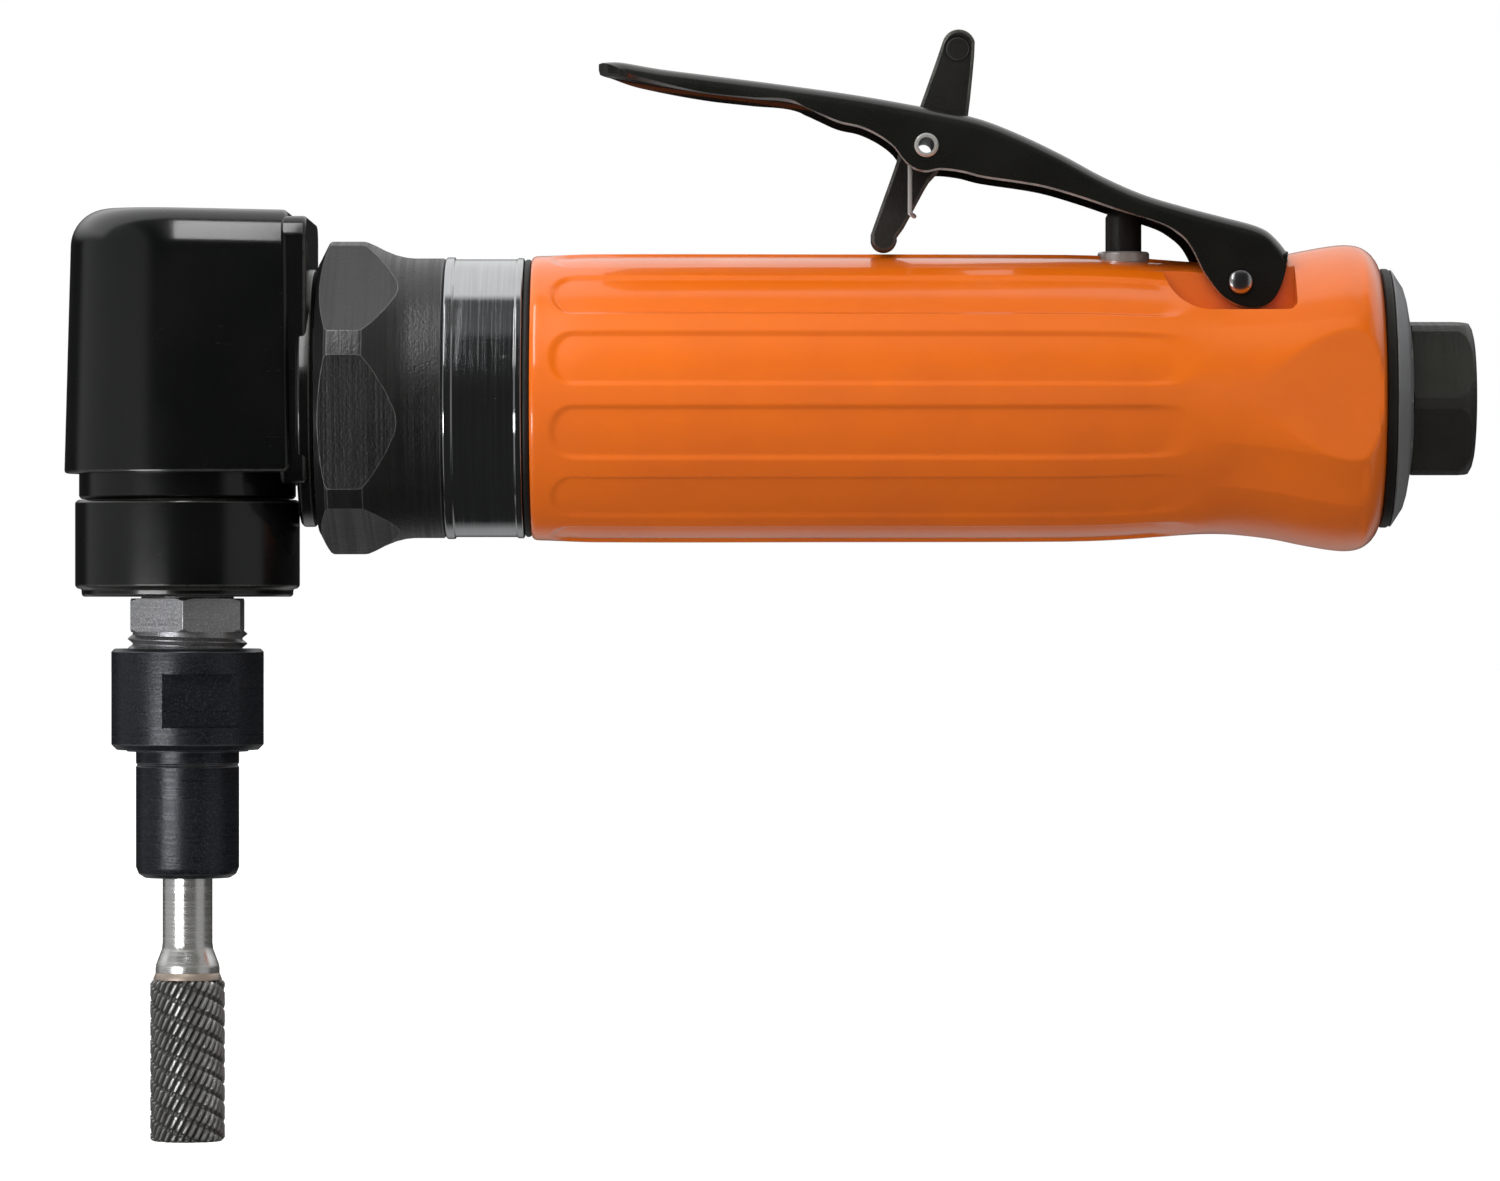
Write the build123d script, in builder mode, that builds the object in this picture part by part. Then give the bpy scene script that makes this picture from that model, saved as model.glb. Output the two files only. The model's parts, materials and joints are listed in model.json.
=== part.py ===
from build123d import *
import os
from math import cos, radians, sin

# Right-angle pneumatic die grinder. Millimetres, +Z up.
# The origin is the centre of the air inlet's mouth and +X points out of it, so the tool lies
# along -X. Stations are counted rearwards from the spindle's axis, where the work is done.
os.makedirs("parts", exist_ok=True)

SPINDLE_X = -163.7
SPINDLE_AXIS = Axis((SPINDLE_X, 0, 0), (0, 0, 1))
SHANK_R = 3.175
CUTTER_R = 4.76
INLET_R = 5.56

HEAD_TOP = 24.0
HEAD_BOTTOM = -9.6
HEAD_R = 15.7
HEAD_BACK = 14.0
CAP_BOTTOM = -25.3
COLLET_NUT_TOP = -31.9
COLLET_NUT_BOTTOM = -61.1
CUTTER_TOP = -74.1
CUTTER_BOTTOM = -94.7

NUT_FRONT = 16.8
RING_FRONT = 33.0
HOUSING_FRONT = 44.0
HOUSING_BACK = 151.8
COVER_BACK = 155.7
INLET_MOUTH = 163.7

MOTOR_R = 14.45
MOTOR_BACK = 103.6
CYLINDER_BORE_R = 12.2
CYLINDER_OFFSET = 1.3
ROTOR_R = 10.6
ROTOR_FRONT = 50.7
ROTOR_BACK = 96.8
VANES = 5

VALVE_STATION = 119.3
VALVE_R = 3.0
LEVER_PIVOT = (133.7, 14.5)
LATCH_PIVOT = (94.0, 31.8)
PIN_R = 1.53
PIVOT_BORE_R = 1.59
LEVER_HALF_WIDTH = 9.0
SHEET = 1.5

PINION_TEETH = 15
GEAR_TEETH = 21
MODULE = 0.9
PINION_PITCH_R = PINION_TEETH * MODULE / 2
GEAR_PITCH_R = GEAR_TEETH * MODULE / 2
TOOTH_INNER = 0.664


def at(station):
    """X of a station counted rearwards from the spindle's axis."""
    return SPINDLE_X + station


def outline_xz(points):
    """Fill a closed outline of (x, z) points in the X-Z plane."""
    with BuildSketch(Plane.XZ) as outline:
        with BuildLine():
            Polyline(*points, close=True)
        make_face()
    return outline.sketch


def turn_x(points, mode=Mode.ADD):
    """Revolve (station, radius) points about the handle's axis."""
    revolve(outline_xz([(at(s), r) for s, r in points]), axis=Axis.X, mode=mode)


def turn_z(points, mode=Mode.ADD):
    """Revolve (radius, z) points about the spindle's axis."""
    revolve(outline_xz([(SPINDLE_X + r, z) for r, z in points]), axis=SPINDLE_AXIS, mode=mode)


def bar_x(radius, front, back, y=0.0, z=0.0, mode=Mode.ADD):
    """A round bar or hole along X between two stations."""
    with BuildSketch(Plane.YZ.offset(at(front))) as end:
        with Locations((y, z)):
            Circle(radius)
    extrude(end.sketch, amount=back - front, mode=mode)


def bar_z(radius, bottom, top, station=0.0, y=0.0, mode=Mode.ADD):
    """A round bar or hole along Z at a station."""
    with BuildSketch(Plane.XY.offset(bottom)) as end:
        with Locations((at(station), y)):
            Circle(radius)
    extrude(end.sketch, amount=top - bottom, mode=mode)


def bar_y(radius, half, pivot, mode=Mode.ADD):
    """A round bar or hole along Y, centred on the mid plane, at a (station, z) pivot."""
    with BuildSketch(Plane.XZ) as end:
        with Locations((at(pivot[0]), pivot[1])):
            Circle(radius)
    extrude(end.sketch, amount=half, both=True, mode=mode)


def hex_x(across_flats, turn, front, back, mode=Mode.ADD):
    """A hexagonal bar along X, its corners turned by an angle about X."""
    with BuildSketch(Plane.YZ.offset(at(front))) as end:
        RegularPolygon(across_flats / 2, 6, major_radius=False, rotation=turn)
    extrude(end.sketch, amount=back - front, mode=mode)


# Handle -------------------------------------------------------------------------------------
with BuildPart() as motor_housing:
    with BuildSketch(Plane.XZ):
        with BuildLine():
            Line((at(HOUSING_FRONT), 0), (at(HOUSING_FRONT), 17.8))
            Line((at(HOUSING_FRONT), 17.8), (at(44.8), 18.15))
            Spline(
                (at(44.8), 18.15),
                (at(52), 18.36),
                (at(112), 18.3),
                (at(124), 17.75),
                (at(130.4), 17.3),
                (at(138), 17.85),
                (at(147.4), 19.5),
                tangents=((1, 0.05), (1, 0.12)),
            )
            Spline(
                (at(147.4), 19.5),
                (at(150.3), 18.7),
                (at(HOUSING_BACK), 16.5),
                tangents=((1, 0.12), (0.1, -1)),
            )
            Line((at(HOUSING_BACK), 16.5), (at(HOUSING_BACK), 0))
            Line((at(HOUSING_BACK), 0), (at(HOUSING_FRONT), 0))
        make_face()
    revolve(axis=Axis.X)
    # Twelve shallow finger flutes, a land on the crown between two of them.
    with BuildSketch(Plane.YZ.offset(at(46.5))) as flutes:
        with PolarLocations(0, 12, start_angle=15):
            with Locations((19.2, 0)):
                Rectangle(2.6, 6.4)
    extrude(flutes.sketch, amount=78.5, mode=Mode.SUBTRACT)
    # A pair of wrench flats on the flared tail.
    for side in (-1, 1):
        with BuildSketch(Plane.XY.offset(-20)) as flat:
            with Locations((at(146), side * 20.15)):
                Rectangle(16, 5.1)
        extrude(flat.sketch, amount=40, mode=Mode.SUBTRACT)
    # A pocket on each side for the lever's ears.
    with BuildSketch(Plane.XZ) as pocket:
        with BuildLine():
            Line((at(129.9), 10.9), (at(140.6), 10.9))
            Line((at(140.6), 10.9), (at(140.6), 22))
            Line((at(140.6), 22), (at(123.9), 22))
            Line((at(123.9), 22), (at(123.9), 16.9))
            RadiusArc((at(123.9), 16.9), (at(129.9), 10.9), -6.0)
        make_face()
    for side in (-1, 1):
        sideways = Location((0, side * 14.3, 0))
        extrude(pocket.sketch.moved(sideways), amount=7.0, both=True, mode=Mode.SUBTRACT)
    # Motor bore, throttle valve bore, air and exhaust passages, silencer chamber.
    bar_x(MOTOR_R, HOUSING_FRONT, MOTOR_BACK, mode=Mode.SUBTRACT)
    bar_z(VALVE_R, -8.5, 17.3, station=VALVE_STATION, mode=Mode.SUBTRACT)
    bar_z(3.35, 17.3, 22, station=VALVE_STATION, mode=Mode.SUBTRACT)
    bar_x(1.6, MOTOR_BACK, VALVE_STATION, z=10.2, mode=Mode.SUBTRACT)
    bar_x(2.9, VALVE_STATION, 146, z=0, mode=Mode.SUBTRACT)
    bar_x(7.0, 146, HOUSING_BACK, mode=Mode.SUBTRACT)
    for angle in (-100, -90, -80):
        bar_x(1.1, MOTOR_BACK, 143, y=13.2 * cos(radians(angle)), z=13.2 * sin(radians(angle)),
              mode=Mode.SUBTRACT)
    turn_x([(142.5, 9.0), (142.5, 14.6), (HOUSING_BACK, 14.6), (HOUSING_BACK, 9.0)],
           mode=Mode.SUBTRACT)
    bar_y(PIN_R, 12, LEVER_PIVOT, mode=Mode.SUBTRACT)
motor_housing.part.label = "motor_housing"
export_step(motor_housing.part, "parts/motor_housing.step")

with BuildPart() as clamp_ring:
    turn_x([
        (22.0, 14.5), (22.0, 15.95), (RING_FRONT, 15.95), (RING_FRONT, 17.7), (33.3, 17.95),
        (34.3, 17.95), (34.5, 17.7), (42.0, 17.7), (42.2, 17.85), (43.0, 17.85),
        (43.0, 16.0), (HOUSING_FRONT, 16.0), (HOUSING_FRONT, 14.4), (44.2, 14.4),
        (44.2, 12.5), (30.0, 12.5), (30.0, 14.5),
    ])
clamp_ring.part.label = "clamp_ring"
export_step(clamp_ring.part, "parts/clamp_ring.step")

with BuildPart() as ring_seal:
    turn_x([(43.0, 16.0), (43.0, 17.4), (43.3, 17.7), (43.7, 17.7), (44.0, 17.4), (44.0, 16.0)])
ring_seal.part.label = "ring_seal"
export_step(ring_seal.part, "parts/ring_seal.step")

with BuildPart() as coupling_nut:
    turn_x([
        (NUT_FRONT, 14.5), (NUT_FRONT, 17.1), (18.4, 20.0), (22.6, 20.0), (24.4, 19.1),
        (26.6, 18.25), (28.9, 17.8), (RING_FRONT, 17.8), (RING_FRONT, 15.95),
        (19.5, 15.95), (19.5, 14.5),
    ])
    hex_x(36.14, -19.2, NUT_FRONT, RING_FRONT, mode=Mode.INTERSECT)
coupling_nut.part.label = "coupling_nut"
export_step(coupling_nut.part, "parts/coupling_nut.step")

with BuildPart() as retaining_ring:
    turn_x([(19.6, 13.8), (19.6, 15.9), (20.8, 15.9), (20.8, 13.8)])
    with BuildSketch(Plane.YZ.offset(at(19))) as gap:
        with Locations((0, 15)):
            Rectangle(2.5, 6)
    extrude(gap.sketch, amount=4, mode=Mode.SUBTRACT)
retaining_ring.part.label = "retaining_ring"
export_step(retaining_ring.part, "parts/retaining_ring.step")

# Tail of the handle --------------------------------------------------------------------------
with BuildPart() as rear_seal:
    turn_x([
        (HOUSING_BACK, 14.6), (HOUSING_BACK, 16.2), (152.1, 16.5), (152.8, 16.5),
        (153.1, 16.2), (153.1, 14.6),
    ])
rear_seal.part.label = "rear_seal"
export_step(rear_seal.part, "parts/rear_seal.step")

with BuildPart() as exhaust_cover:
    turn_x([
        (153.1, 7.0), (153.1, 16.45), (153.4, 16.3), (154.6, 14.2), (COVER_BACK, 9.7),
        (COVER_BACK, 7.0),
    ])
    turn_x([(HOUSING_BACK, 12.8), (HOUSING_BACK, 14.6), (153.1, 14.6), (153.1, 12.8)])
    with BuildSketch(Plane.YZ.offset(at(152))) as vents:
        with PolarLocations(11.6, 12):
            Circle(0.9)
    extrude(vents.sketch, amount=6, mode=Mode.SUBTRACT)
exhaust_cover.part.label = "exhaust_cover"
export_step(exhaust_cover.part, "parts/exhaust_cover.step")

with BuildPart() as muffler_ring:
    turn_x([(145.5, 9.0), (145.5, 14.6), (151.0, 14.6), (151.0, 9.0)])
muffler_ring.part.label = "muffler_ring"
export_step(muffler_ring.part, "parts/muffler_ring.step")

with BuildPart() as inlet_bushing:
    hex_x(19.05, 4.6, COVER_BACK, INLET_MOUTH)
    turn_x([(COVER_BACK, 0), (COVER_BACK, 12), (161.6, 12), (INLET_MOUTH, 9.1), (INLET_MOUTH, 0)],
           mode=Mode.INTERSECT)
    bar_x(7.0, 148.2, COVER_BACK)
    bar_x(INLET_R, 150.0, INLET_MOUTH, mode=Mode.SUBTRACT)
    bar_x(4.4, 148.2, 150.0, mode=Mode.SUBTRACT)
inlet_bushing.part.label = "inlet_bushing"
export_step(inlet_bushing.part, "parts/inlet_bushing.step")

with BuildPart() as inlet_screen:
    bar_x(6.9, 147.4, 148.2)
    with BuildSketch(Plane.YZ.offset(at(147))) as mesh:
        with HexLocations(0.95, 5, 5):
            Circle(0.55)
    extrude(mesh.sketch, amount=2, mode=Mode.SUBTRACT)
inlet_screen.part.label = "inlet_screen"
export_step(inlet_screen.part, "parts/inlet_screen.step")

# Vane motor ----------------------------------------------------------------------------------
with BuildPart() as motor_cylinder:
    bar_x(MOTOR_R, 50.4, 97.1)
    bar_x(CYLINDER_BORE_R, 50.4, 97.1, z=CYLINDER_OFFSET, mode=Mode.SUBTRACT)
    with Locations((at(73.75), 0, -15.4)):
        Box(60, 20, 5, mode=Mode.SUBTRACT)
    for port in (62, 74, 86):
        bar_z(1.6, -15, -8, station=port, mode=Mode.SUBTRACT)
    for front in (50.4, 93.5):
        bar_x(0.7, front, front + 3.6, y=8.4, z=-10.1, mode=Mode.SUBTRACT)
motor_cylinder.part.label = "motor_cylinder"
export_step(motor_cylinder.part, "parts/motor_cylinder.step")

with BuildPart() as front_end_plate:
    bar_x(MOTOR_R, 44.2, 50.4)
    bar_x(8.0, 44.2, 49.4, mode=Mode.SUBTRACT)
    bar_x(4.4, 49.4, 50.4, mode=Mode.SUBTRACT)
    bar_x(0.7, 46.8, 50.4, y=8.4, z=-10.1, mode=Mode.SUBTRACT)
front_end_plate.part.label = "front_end_plate"
export_step(front_end_plate.part, "parts/front_end_plate.step")

with BuildPart() as rear_end_plate:
    bar_x(MOTOR_R, 97.1, MOTOR_BACK)
    bar_x(8.0, 98.2, MOTOR_BACK, mode=Mode.SUBTRACT)
    bar_x(4.4, 97.1, 98.2, mode=Mode.SUBTRACT)
    bar_x(1.5, 97.1, MOTOR_BACK, z=10.2, mode=Mode.SUBTRACT)
    bar_x(0.7, 97.1, 100.7, y=8.4, z=-10.1, mode=Mode.SUBTRACT)
    with Locations((at(100), 0, -15.4)):
        Box(20, 20, 5, mode=Mode.SUBTRACT)
rear_end_plate.part.label = "rear_end_plate"
export_step(rear_end_plate.part, "parts/rear_end_plate.step")

with BuildPart() as dowel_pins:
    bar_x(0.7, 46.8, 54.0, y=8.4, z=-10.1)
    bar_x(0.7, 93.5, 100.7, y=8.4, z=-10.1)
dowel_pins.part.label = "dowel_pins"
export_step(dowel_pins.part, "parts/dowel_pins.step")


def rotor_slots(width, inner, outer):
    """Five radial bars in the rotor's cross-section, as slots or as vanes."""
    with BuildSketch(Plane.YZ.offset(at(ROTOR_FRONT))) as slots:
        with PolarLocations(0, VANES, start_angle=90):
            with Locations(((inner + outer) / 2, 0)):
                Rectangle(outer - inner, width)
    return slots.sketch


with BuildPart() as rotor:
    bar_x(ROTOR_R, ROTOR_FRONT, ROTOR_BACK)
    extrude(rotor_slots(1.5, 5.0, 12.0), amount=ROTOR_BACK - ROTOR_FRONT, mode=Mode.SUBTRACT)
    bar_x(4.0, 36.0, ROTOR_FRONT)
    bar_x(4.0, ROTOR_BACK, 103.2)
    hex_x(5.0, 0, 36.0, 41.0, mode=Mode.SUBTRACT)
rotor.part.label = "rotor"
export_step(rotor.part, "parts/rotor.step")

with BuildPart() as vanes:
    extrude(rotor_slots(1.5, 5.4, 10.45), amount=ROTOR_BACK - ROTOR_FRONT)
vanes.part.label = "vanes"
export_step(vanes.part, "parts/vanes.step")


# Bearings ------------------------------------------------------------------------------------
def bearing_race(plane, bore, outside, width, groove):
    """One ring of a ball bearing, centred on a plane, with its ball groove."""
    pitch, ball = groove
    with BuildPart(plane) as ring:
        Cylinder(outside, width)
        Cylinder(bore, width, mode=Mode.SUBTRACT)
        Torus(pitch, ball, mode=Mode.SUBTRACT)
    return ring.part


def bearing_balls(plane, pitch, ball, count):
    """The balls of one bearing, spaced round its pitch circle."""
    with BuildPart(plane) as ring:
        with PolarLocations(pitch, count):
            Sphere(ball)
    return ring.part


def export_bearing(name, plane, bore, outside, width):
    """Write a bearing's outer race, balls and inner race."""
    pitch = (bore + outside) / 2
    ball = 0.27 * (outside - bore)
    count = int(6.28 * pitch / (2.5 * ball))
    outer = bearing_race(plane, pitch + 0.6 * ball, outside, width, (pitch, ball + 0.02))
    inner = bearing_race(plane, bore, pitch - 0.6 * ball, width, (pitch, ball + 0.12))
    balls = bearing_balls(plane, pitch, ball, count)
    for piece, label in ((outer, "outer"), (balls, "balls"), (inner, "inner")):
        piece.label = name + "_" + label
        export_step(piece, "parts/" + name + "_" + label + ".step")


def across_x(station):
    """A plane square to the handle's axis at a station."""
    return Plane(origin=(at(station), 0, 0), z_dir=(1, 0, 0))


def across_z(height):
    """A plane square to the spindle's axis at a height."""
    return Plane(origin=(SPINDLE_X, 0, height), z_dir=(0, 0, 1))


export_bearing("front_bearing", across_x(46.8), 4.0, 8.0, 5.0)
export_bearing("rear_bearing", across_x(100.9), 4.0, 8.0, 4.6)
export_bearing("pinion_bearing", across_x(17.0), 4.0, 9.0, 6.0)
export_bearing("upper_bearing", across_z(15.3), 3.5, 8.0, 5.0)
export_bearing("lower_bearing", across_z(-17.9), 5.0, 10.9, 6.6)


# Bevel gears ---------------------------------------------------------------------------------
def bevel_tooth(pitch_point, addendum_dir):
    """One straight bevel tooth: a wedge that narrows towards the point where the axes cross."""
    faces = []
    for scale in (1.0, TOOTH_INNER):
        middle = (SPINDLE_X + pitch_point[0] * scale, 0, pitch_point[1] * scale)
        tooth_plane = Plane(origin=middle, x_dir=(0, 1, 0),
                            z_dir=(addendum_dir[1], 0, -addendum_dir[0]))
        up = 1.0 if tooth_plane.y_dir.dot(Vector(addendum_dir[0], 0, addendum_dir[1])) > 0 else -1.0
        corners = [(-0.86, -1.5 * up), (0.86, -1.5 * up), (0.32, 0.75 * up), (-0.32, 0.75 * up)]
        with BuildSketch(tooth_plane) as face:
            with BuildLine():
                Polyline(*[(x * scale, y * scale) for x, y in corners], close=True)
            make_face()
        faces.append(face.sketch.faces()[0])
    return loft(faces, mode=Mode.PRIVATE)


CONE = (GEAR_PITCH_R ** 2 + PINION_PITCH_R ** 2) ** 0.5
TOWARDS_GEAR = (-PINION_PITCH_R / CONE, GEAR_PITCH_R / CONE)
TOWARDS_PINION = (PINION_PITCH_R / CONE, -GEAR_PITCH_R / CONE)

with BuildPart() as bevel_pinion:
    turn_x([(6.72, 0), (6.72, 3.85), (10.11, 5.80), (11.2, 5.3), (11.2, 4.6), (13.9, 4.6),
            (13.9, 4.0), (34.0, 4.0), (34.0, 0)])
    hex_x(5.0, 0, 34.0, 40.5)
    pinion_tooth = bevel_tooth((GEAR_PITCH_R, PINION_PITCH_R), TOWARDS_GEAR)
    for number in range(PINION_TEETH):
        add(pinion_tooth.rotate(Axis.X, 360 * number / PINION_TEETH))
bevel_pinion.part.label = "bevel_pinion"
export_step(bevel_pinion.part, "parts/bevel_pinion.step")

with BuildPart() as bevel_gear:
    turn_z([(4.5, 5.0), (5.83, 5.10), (8.77, 7.69), (9.3, 8.6), (9.1, 9.4), (6.9, 11.4), (4.5, 11.4)])
    gear_tooth = bevel_tooth((GEAR_PITCH_R, PINION_PITCH_R), TOWARDS_PINION)
    for number in range(GEAR_TEETH):
        add(gear_tooth.rotate(SPINDLE_AXIS, 360 * (number + 0.5) / GEAR_TEETH))
    with Locations((SPINDLE_X - 4.5, 0, 8.5)):
        Box(1.8, 1.5, 4.0, mode=Mode.SUBTRACT)
bevel_gear.part.label = "bevel_gear"
export_step(bevel_gear.part, "parts/bevel_gear.step")

with BuildPart() as gear_key:
    with Locations((SPINDLE_X - 4.5, 0, 8.5)):
        Box(1.8, 1.5, 4.0)
gear_key.part.label = "gear_key"
export_step(gear_key.part, "parts/gear_key.step")

# Angle head ----------------------------------------------------------------------------------
with BuildPart() as head_housing:
    # A block with a half-round nose, slightly drafted, its top edge well rounded.
    with BuildSketch(Plane.XY.offset(HEAD_BOTTOM)) as plan:
        with Locations((SPINDLE_X, 0)):
            Circle(HEAD_R)
        with Locations((at(HEAD_BACK / 2), 0)):
            Rectangle(HEAD_BACK, 2 * HEAD_R)
    extrude(plan.sketch, amount=HEAD_TOP - HEAD_BOTTOM, taper=1.6)
    fillet(faces().sort_by(Axis.Z)[-1].edges(), 3.6)
    # Back plate and the round flange that meets the coupling nut.
    with BuildSketch(Plane.YZ.offset(at(11))) as back_plate:
        with Locations((0, 6.3)):
            RectangleRounded(29.6, 33.0, 3.0)
    extrude(back_plate.sketch, amount=5.0)
    bar_x(16.4, 15.0, NUT_FRONT)
    bar_x(14.4, NUT_FRONT, 30.0)
    # Neck that carries the spindle cap.
    bar_z(13.8, -12.9, 0)
    bar_z(11.6, -12.9, 12.2, mode=Mode.SUBTRACT)
    bar_z(8.0, 12.2, 18.6, mode=Mode.SUBTRACT)
    bar_x(8.2, 0, 14.0, mode=Mode.SUBTRACT)
    bar_x(9.0, 14.0, 30.0, mode=Mode.SUBTRACT)
    turn_x([(19.6, 13.8), (19.6, 15.0), (20.8, 15.0), (20.8, 13.8)], mode=Mode.SUBTRACT)
head_housing.part.label = "head_housing"
export_step(head_housing.part, "parts/head_housing.step")

with BuildPart() as spindle_cap:
    turn_z([
        (10.9, -10.6), (11.6, -10.6), (11.6, -12.9), (14.0, -12.9), (14.3, -13.2), (14.3, -24.2),
        (13.45, -24.4), (13.45, -25.1), (13.25, CAP_BOTTOM), (6.3, CAP_BOTTOM), (6.3, -21.4),
        (10.9, -21.4),
    ])
spindle_cap.part.label = "spindle_cap"
export_step(spindle_cap.part, "parts/spindle_cap.step")

# Spindle, collet and cutter --------------------------------------------------------------------
with BuildPart() as spindle:
    turn_z([
        (0, 18.2), (3.5, 18.2), (3.5, 12.5), (4.5, 12.5), (4.5, -12.2), (5.0, -12.2),
        (5.0, -21.2), (5.9, -21.2), (5.9, -27.0), (7.35, -29.8), (7.65, -30.2), (7.65, -43.0),
        (5.35, -43.0), (3.9, -29.0), (3.3, -28.0), (3.3, -24.0), (0, -24.0),
    ])
    with BuildSketch(Plane.XY.offset(-29.8)) as wrench_hex:
        with Locations((SPINDLE_X, 0)):
            RegularPolygon(7.0, 6, major_radius=False, rotation=30)
            Circle(5.0, mode=Mode.SUBTRACT)
    extrude(wrench_hex.sketch, amount=4.3)
    with Locations((SPINDLE_X - 4.5, 0, 8.5)):
        Box(1.8, 1.5, 4.0, mode=Mode.SUBTRACT)
spindle.part.label = "spindle"
export_step(spindle.part, "parts/spindle.step")

with BuildPart() as collet:
    turn_z([
        (SHANK_R, -29.0), (3.9, -29.0), (5.35, -43.0), (4.5, -46.4), (SHANK_R, -46.4),
    ])
    with BuildSketch(Plane.XY.offset(-47)) as slits:
        with Locations((SPINDLE_X, 0)):
            with PolarLocations(3.0, 3):
                Rectangle(6.0, 0.5)
    extrude(slits.sketch, amount=14.5, mode=Mode.SUBTRACT)
collet.part.label = "collet"
export_step(collet.part, "parts/collet.step")

with BuildPart() as collet_nut:
    turn_z([
        (7.65, COLLET_NUT_TOP), (9.4, COLLET_NUT_TOP), (9.7, -32.2), (9.7, -44.1), (9.0, -44.8),
        (6.57, -44.8), (6.57, -60.0), (5.5, COLLET_NUT_BOTTOM), (3.5, COLLET_NUT_BOTTOM),
        (3.5, -46.6), (4.5, -46.4), (5.5, -43.1), (7.65, -43.1),
    ])
    for turn in (-75, 105):
        with BuildSketch(Plane.XY.offset(-41.9)) as jaw:
            with Locations((SPINDLE_X + 10.4 * cos(radians(turn)), 10.4 * sin(radians(turn)))):
                Rectangle(4.0, 14.0, rotation=turn)
        extrude(jaw.sketch, amount=6.8, mode=Mode.SUBTRACT)
collet_nut.part.label = "collet_nut"
export_step(collet_nut.part, "parts/collet_nut.step")

with BuildPart() as bur_shank:
    turn_z([
        (0, -26.5), (SHANK_R, -26.5), (SHANK_R, -69.7), (4.08, -72.4), (4.08, CUTTER_TOP),
        (0, CUTTER_TOP),
    ])
bur_shank.part.label = "bur_shank"
export_step(bur_shank.part, "parts/bur_shank.step")

with BuildPart() as bur_head:
    bar_z(CUTTER_R, CUTTER_BOTTOM, CUTTER_TOP)
    chamfer(edges().filter_by(GeomType.CIRCLE), 0.4)
bur_head.part.label = "bur_head"
export_step(bur_head.part, "parts/bur_head.step")

# Throttle valve --------------------------------------------------------------------------------
with BuildPart() as valve_bushing:
    bar_z(VALVE_R, 14.5, 17.3, station=VALVE_STATION)
    bar_z(3.3, 17.3, 18.7, station=VALVE_STATION)
    bar_z(2.38, 14.5, 18.7, station=VALVE_STATION, mode=Mode.SUBTRACT)
valve_bushing.part.label = "valve_bushing"
export_step(valve_bushing.part, "parts/valve_bushing.step")

with BuildPart() as stem_seal:
    bar_z(VALVE_R, 13.6, 14.5, station=VALVE_STATION)
    bar_z(2.38, 13.6, 14.5, station=VALVE_STATION, mode=Mode.SUBTRACT)
stem_seal.part.label = "stem_seal"
export_step(stem_seal.part, "parts/stem_seal.step")

with BuildPart() as valve_seat:
    bar_z(VALVE_R, 5.0, 6.5, station=VALVE_STATION)
    bar_z(1.7, 5.0, 6.5, station=VALVE_STATION, mode=Mode.SUBTRACT)
valve_seat.part.label = "valve_seat"
export_step(valve_seat.part, "parts/valve_seat.step")

with BuildPart() as valve_stem:
    bar_z(2.3, 13.4, 23.2, station=VALVE_STATION)
    bar_z(1.2, 5.7, 13.4, station=VALVE_STATION)
    bar_z(2.3, 23.2, 23.6, station=VALVE_STATION)
    bar_z(1.6, 23.6, 24.2, station=VALVE_STATION)
valve_stem.part.label = "valve_stem"
export_step(valve_stem.part, "parts/valve_stem.step")

with BuildPart() as valve_ball:
    with Locations((at(VALVE_STATION), 0, 3.28)):
        Sphere(2.4)
valve_ball.part.label = "valve_ball"
export_step(valve_ball.part, "parts/valve_ball.step")

with BuildPart() as valve_spring:
    with BuildLine():
        Helix(pitch=2.05, height=8.2, radius=1.9, center=(at(VALVE_STATION), 0, -8.0))
    with BuildSketch(Plane(origin=(at(VALVE_STATION) + 1.9, 0, -8.0), z_dir=(0, 1, 0.17))):
        Circle(0.32)
    sweep()
valve_spring.part.label = "valve_spring"
export_step(valve_spring.part, "parts/valve_spring.step")

# Throttle lever with its lock-off latch --------------------------------------------------------
LEVER_TOP = [
    (52.5, 42.5), (60.2, 41.5), (75.5, 39.6), (90.8, 37.3), (101.0, 35.2), (106.1, 33.2),
    (111.2, 30.7), (116.3, 27.9), (121.4, 25.7), (131.6, 22.8), (136.9, 21.3),
]
LEVER_EDGE = [
    (139.7, 18.4), (139.4, 16.0), (138.2, 12.6), (136.6, 11.3), (134.0, 11.3), (132.2, 12.2),
    (130.5, 14.0), (129.3, 16.0), (127.8, 18.9), (126.5, 20.4), (123.9, 21.9), (118.8, 23.6),
    (113.7, 25.3), (108.6, 26.8), (101.0, 27.9), (97.6, 28.7), (94.0, 28.4), (91.2, 30.2),
    (88.2, 33.0), (85.7, 34.3), (83.1, 34.9), (79.0, 36.6), (72.0, 37.7), (65.3, 38.5),
    (57.6, 40.2), (52.5, 41.5),
]

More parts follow.
